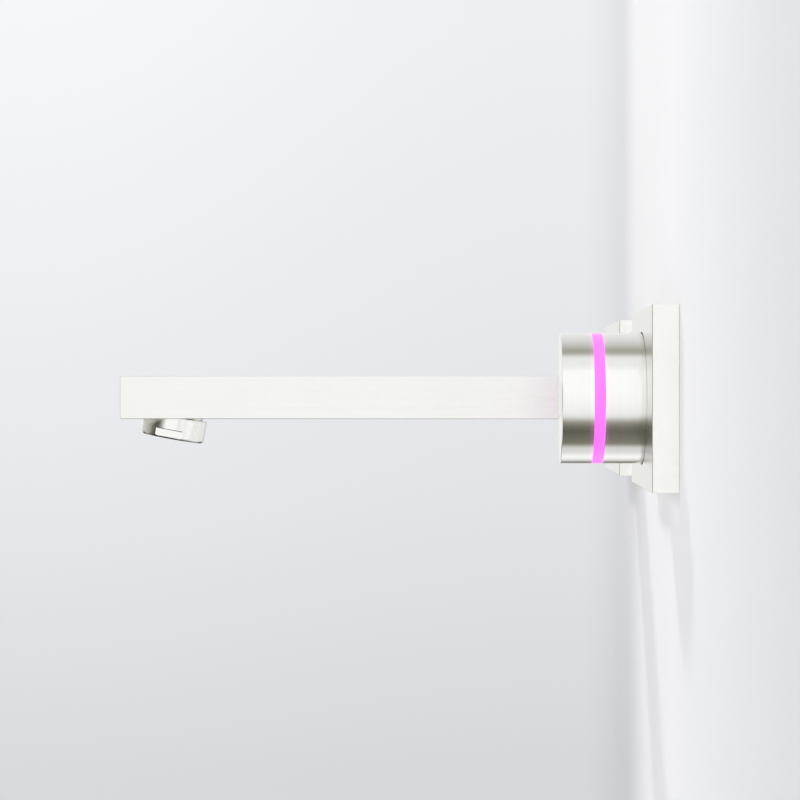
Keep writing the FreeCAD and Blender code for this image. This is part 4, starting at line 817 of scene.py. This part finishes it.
def make_stage():
    """A white wall that ends just past the spout's plate, and a pale floor below."""
    left, right, bottom, top = -0.16, 0.62, -0.45, 0.55
    sheet = bmesh.new()
    bmesh.ops.create_grid(sheet, x_segments=1, y_segments=1, size=0.5)
    for vert in sheet.verts:
        vert.co = Vector((
            left if vert.co.x < 0 else right,
            0.1 * MM,
            bottom if vert.co.y < 0 else top,
        ))
    wall = in_scene("wall", sheet, wall_paint())

    disc = bmesh.new()
    bmesh.ops.create_circle(disc, cap_ends=True, segments=128, radius=1.15)
    bmesh.ops.translate(disc, verts=disc.verts, vec=(0.12, -0.1, bottom))
    floor = in_scene("floor", disc, floor_paint())
    floor.visible_glossy = False


def dimmed(colour, shade):
    """The colour times a shade of grey."""
    grey = shade.node("CombineColor", None, {0: shade, 1: shade, 2: shade})
    settings = {"data_type": "RGBA", "blend_type": "MULTIPLY"}
    return grey.node("Mix", settings, {0: 1.0, 6: colour, 7: grey}, 2)


def surface_of(f):
    """The material's own shader, for use in a mix."""
    return Shade(f.tree, f.shader.outputs[0])


def show(f, surface):
    """Makes a mix of shaders the material's surface."""
    f.tree.links.new(surface.socket, f.tree.nodes["Material Output"].inputs["Surface"])


def mixed(factor, first, second):
    """The first shader where the factor is 0 and the second where it is 1."""
    return factor.node("MixShader", None, {0: factor, 1: first, 2: second})


def wall_paint():
    """Matt white paint that fades out past the spout's plate, and is clear when seen from behind.

    Grazing reflections go through it, apart from those between the two plates.
    """
    f = Finish("wall_paint", Roughness=0.9, Specular_IOR_Level=0.0)
    x, z = f.place.part("X"), f.place.part("Z")
    grain = f.place.noise(260.0, 3.0)
    # The base colour's change along X is painted light falloff
    f.put("Base Color", (grain * 0.02).tint((2 * x).ramp(WALL_PAINTED_FALLOFF), rgb(0.8)))
    f.put("Normal", grain.bump(0.03, 0.2 * MM))

    direct = f.place.node("LightPath", output="Is Camera Ray")
    mirrored = f.place.node("LightPath", output="Is Glossy Ray")
    between = (1 - abs(x - KNOB.x / 2).step(40 * MM, 50 * MM)) * (1 - abs(z).step(36 * MM, 46 * MM))

    # Light that the wall shows: a little in reflections, and under the near plate, where its shadow is lifted
    half = PLATE_W / 2
    across = 1 - abs(x - KNOB.x).step((half - 4) * MM, (half + 4) * MM)
    lifted = across * z.step(-52 * MM, -32 * MM) * (1 - z.step(-32 * MM, -30 * MM))
    f.put("Emission Color", rgb(1.0))
    f.put("Emission Strength", mirrored * (0.20 + between * 0.15) + lifted * lifted * direct * 0.16)

    # The end past the spout's plate takes the backdrop's colours, and further out nothing is seen
    lower = (0 - z).step(0.02, 0.16)
    end = 1 - x.step(-0.062 + 0.022 * lower, 0.018 + 0.065 * lower)
    by_height = (0.538 * z + 0.5).ramp(BACKDROP)
    blend = f.place.node("Emission", None, {"Color": dimmed(by_height, 0.856 - 0.14 * z)})
    painted = mixed(end * direct, surface_of(f), blend)

    grazing = f.place.node("LayerWeight", None, {"Blend": 0.5}, "Facing").step(0.80, 0.88)
    through = mirrored * grazing * (1 - between)
    beyond = direct * (1 - x.step(-0.150, -0.070))
    behind = f.place.node("NewGeometry", output="Backfacing")
    gone = through.at_least(end * (1 - direct)).at_least(beyond).at_least(behind)
    show(f, mixed(gone, painted, f.place.node("BsdfTransparent")))
    return f.material


def floor_paint():
    """Pale matt paint, clear when seen from below."""
    f = Finish("floor_paint", Roughness=0.8)
    grain = f.place.noise(120.0, 3.0)
    f.put("Base Color", grain.step(0.2, 0.8).tint(seen(229, 229, 232), seen(231, 231, 234)))
    below = f.place.node("NewGeometry", output="Backfacing")
    show(f, mixed(below, surface_of(f), f.place.node("BsdfTransparent")))
    return f.material


# Light that the metal sees by the angle round the tap's length, in degrees from the camera's side upwards
BANDS = [
    (-180, 0.95), (-173, 0.60), (-163, 0.22), (-152, 0.28), (-146, 0.60), (-140, 0.84), (-127, 1.10),
    (-118, 0.98), (-109, 0.77), (-98, 0.76), (-92, 0.45), (-87, 0.21), (-78, 0.18), (-60, 0.115),
    (-49, 0.19), (-41, 0.36), (-34, 0.79), (-29, 0.94), (-19, 1.02), (8, 1.11), (48, 1.12), (54, 1.03),
    (58, 0.96), (75, 0.93), (80, 0.76), (86, 0.45), (93, 0.38), (103, 0.54), (112, 0.66), (120, 0.73),
    (132, 0.83), (180, 0.95),
]
# The same in the level plane, in degrees from the camera's side towards the room (+) or the wall (-)
LEVEL = [
    (-180, 0.95), (-110, 0.95), (-75, 0.92), (-61, 0.66), (-48, 0.95), (-30, 1.02), (0, 1.05),
    (18, 1.00), (24, 0.90), (32, 0.66), (40, 0.36), (47, 0.15), (54, 0.08), (64, 0.07), (74, 0.16),
    (85, 0.35), (103, 0.52), (112, 0.58), (130, 0.66), (150, 0.76), (180, 0.95),
]
AMBIENT = 0.5  # the rest of the matt surfaces' light comes from the panels


def band_tone(light):
    """Dark flags are a little olive and bright panels a little cool."""
    warm = max(0.0, 0.75 - light) * 0.17
    return (light * (1 + warm * 0.4), light, light * (1.02 - warm * 2.2))


def light_by_angle(up, ahead, table):
    """The table's light at the angle that two parts of a ray's direction make."""
    turn = up.math("ARCTAN2", ahead) / (2 * math.pi) + 0.5
    return turn.ramp([(angle / 360 + 0.5, band_tone(light)) for angle, light in table])


def backdrop_colour(x, y, z):
    """The pale backdrop by the ray's height, darker towards the wall in the photograph's direction."""
    height = (z * 0.5 + 0.5).ramp(BACKDROP)
    side = y / (0.02 + abs(x))
    shade = 1 - (0.05 + 0.13 * z) * side.step(-0.22, 0.045) - 0.1 * side.step(0.053, 0.079)
    far = (0 - x).step(0.86, 0.95)
    return far.tint(height, dimmed(height, shade))


def make_world():
    """A pale studio: a soft backdrop behind the tap, and panels and flags on the other sides."""
    world = bpy.data.worlds.new("studio")
    bpy.context.scene.world = world
    world.use_nodes = True
    tree = world.node_tree
    ray = Shade(tree).node("TexCoord", output="Generated")
    x, y, z = ray.part("X"), ray.part("Y"), ray.part("Z")

    ends = abs(y).step(0.55, 0.92)
    around = ends.tint(light_by_angle(z, x, BANDS), rgb(0.92))
    flat = abs(y).step(0.34, 0.58) * (1 - abs(z).step(0.14, 0.30))
    around = flat.tint(around, light_by_angle(0 - y, x, LEVEL))
    under = (0 - z).step(0.42, 0.60) * (0 - y).step(0.16, 0.34) * (1 - (0 - y).step(0.68, 0.80))
    around = under.tint(around, rgb(band_tone(0.03)))
    behind = (0 - x).step(0.8, 0.93) * (0 - y).step(0.0, 0.05)
    around = behind.tint(around, rgb(0.95))

    mirrored = ray.node("LightPath", output="Is Glossy Ray")
    direct = ray.node("LightPath", output="Is Camera Ray")
    colour = direct.tint(mirrored.tint(rgb(AMBIENT), around), backdrop_colour(x, y, z))
    background = tree.nodes["Background"]
    tree.links.new(colour.socket, background.inputs["Color"])
    background.inputs["Strength"].default_value = 1.0


def make_lamp(name, place, target, size, power):
    """A square white panel that lights the tap and isn't mirrored in it."""
    data = bpy.data.lights.new(name, "AREA")
    data.shape = "RECTANGLE"
    data.size = data.size_y = size
    data.energy = power
    lamp = bpy.data.objects.new(name, data)
    bpy.context.scene.collection.objects.link(lamp)
    lamp.location = place
    lamp.rotation_mode = "QUATERNION"
    lamp.rotation_quaternion = (Vector(target) - Vector(place)).to_track_quat("-Z", "Y")
    lamp.visible_glossy = False


def make_camera():
    """The photograph's camera: level with the tap, at its right-hand side, looking along the wall."""
    data = bpy.data.cameras.new("camera")
    data.lens = 92.81
    data.sensor_width = 36.0
    data.clip_start = 0.05
    camera = bpy.data.objects.new("camera", data)
    bpy.context.scene.collection.objects.link(camera)
    camera.location = CAMERA
    yaw, pitch = 0.0325, 0.0033
    level = math.cos(pitch)
    ahead = Vector((-math.cos(yaw) * level, -math.sin(yaw) * level, -math.sin(pitch)))
    camera.rotation_mode = "QUATERNION"
    camera.rotation_quaternion = ahead.to_track_quat("-Z", "Y")
    bpy.context.scene.camera = camera


dress_nodes()
knob_pieces()
outlet_pieces()
edged_pieces()
round_pieces()
spring_pieces()
can_details()
body_details()
drive_details()
rail_details()
make_stage()
make_world()
make_lamp("side_panel", (-0.74, -0.58, 0.90), (0.05, -0.02, 0.0), 0.12, 5.6)
make_lamp("front_panel", (0.24, -1.15, 0.38), (0.10, -0.02, 0.0), 0.9, 6.0)
make_camera()

bpy.context.scene.view_settings.view_transform = "Standard"
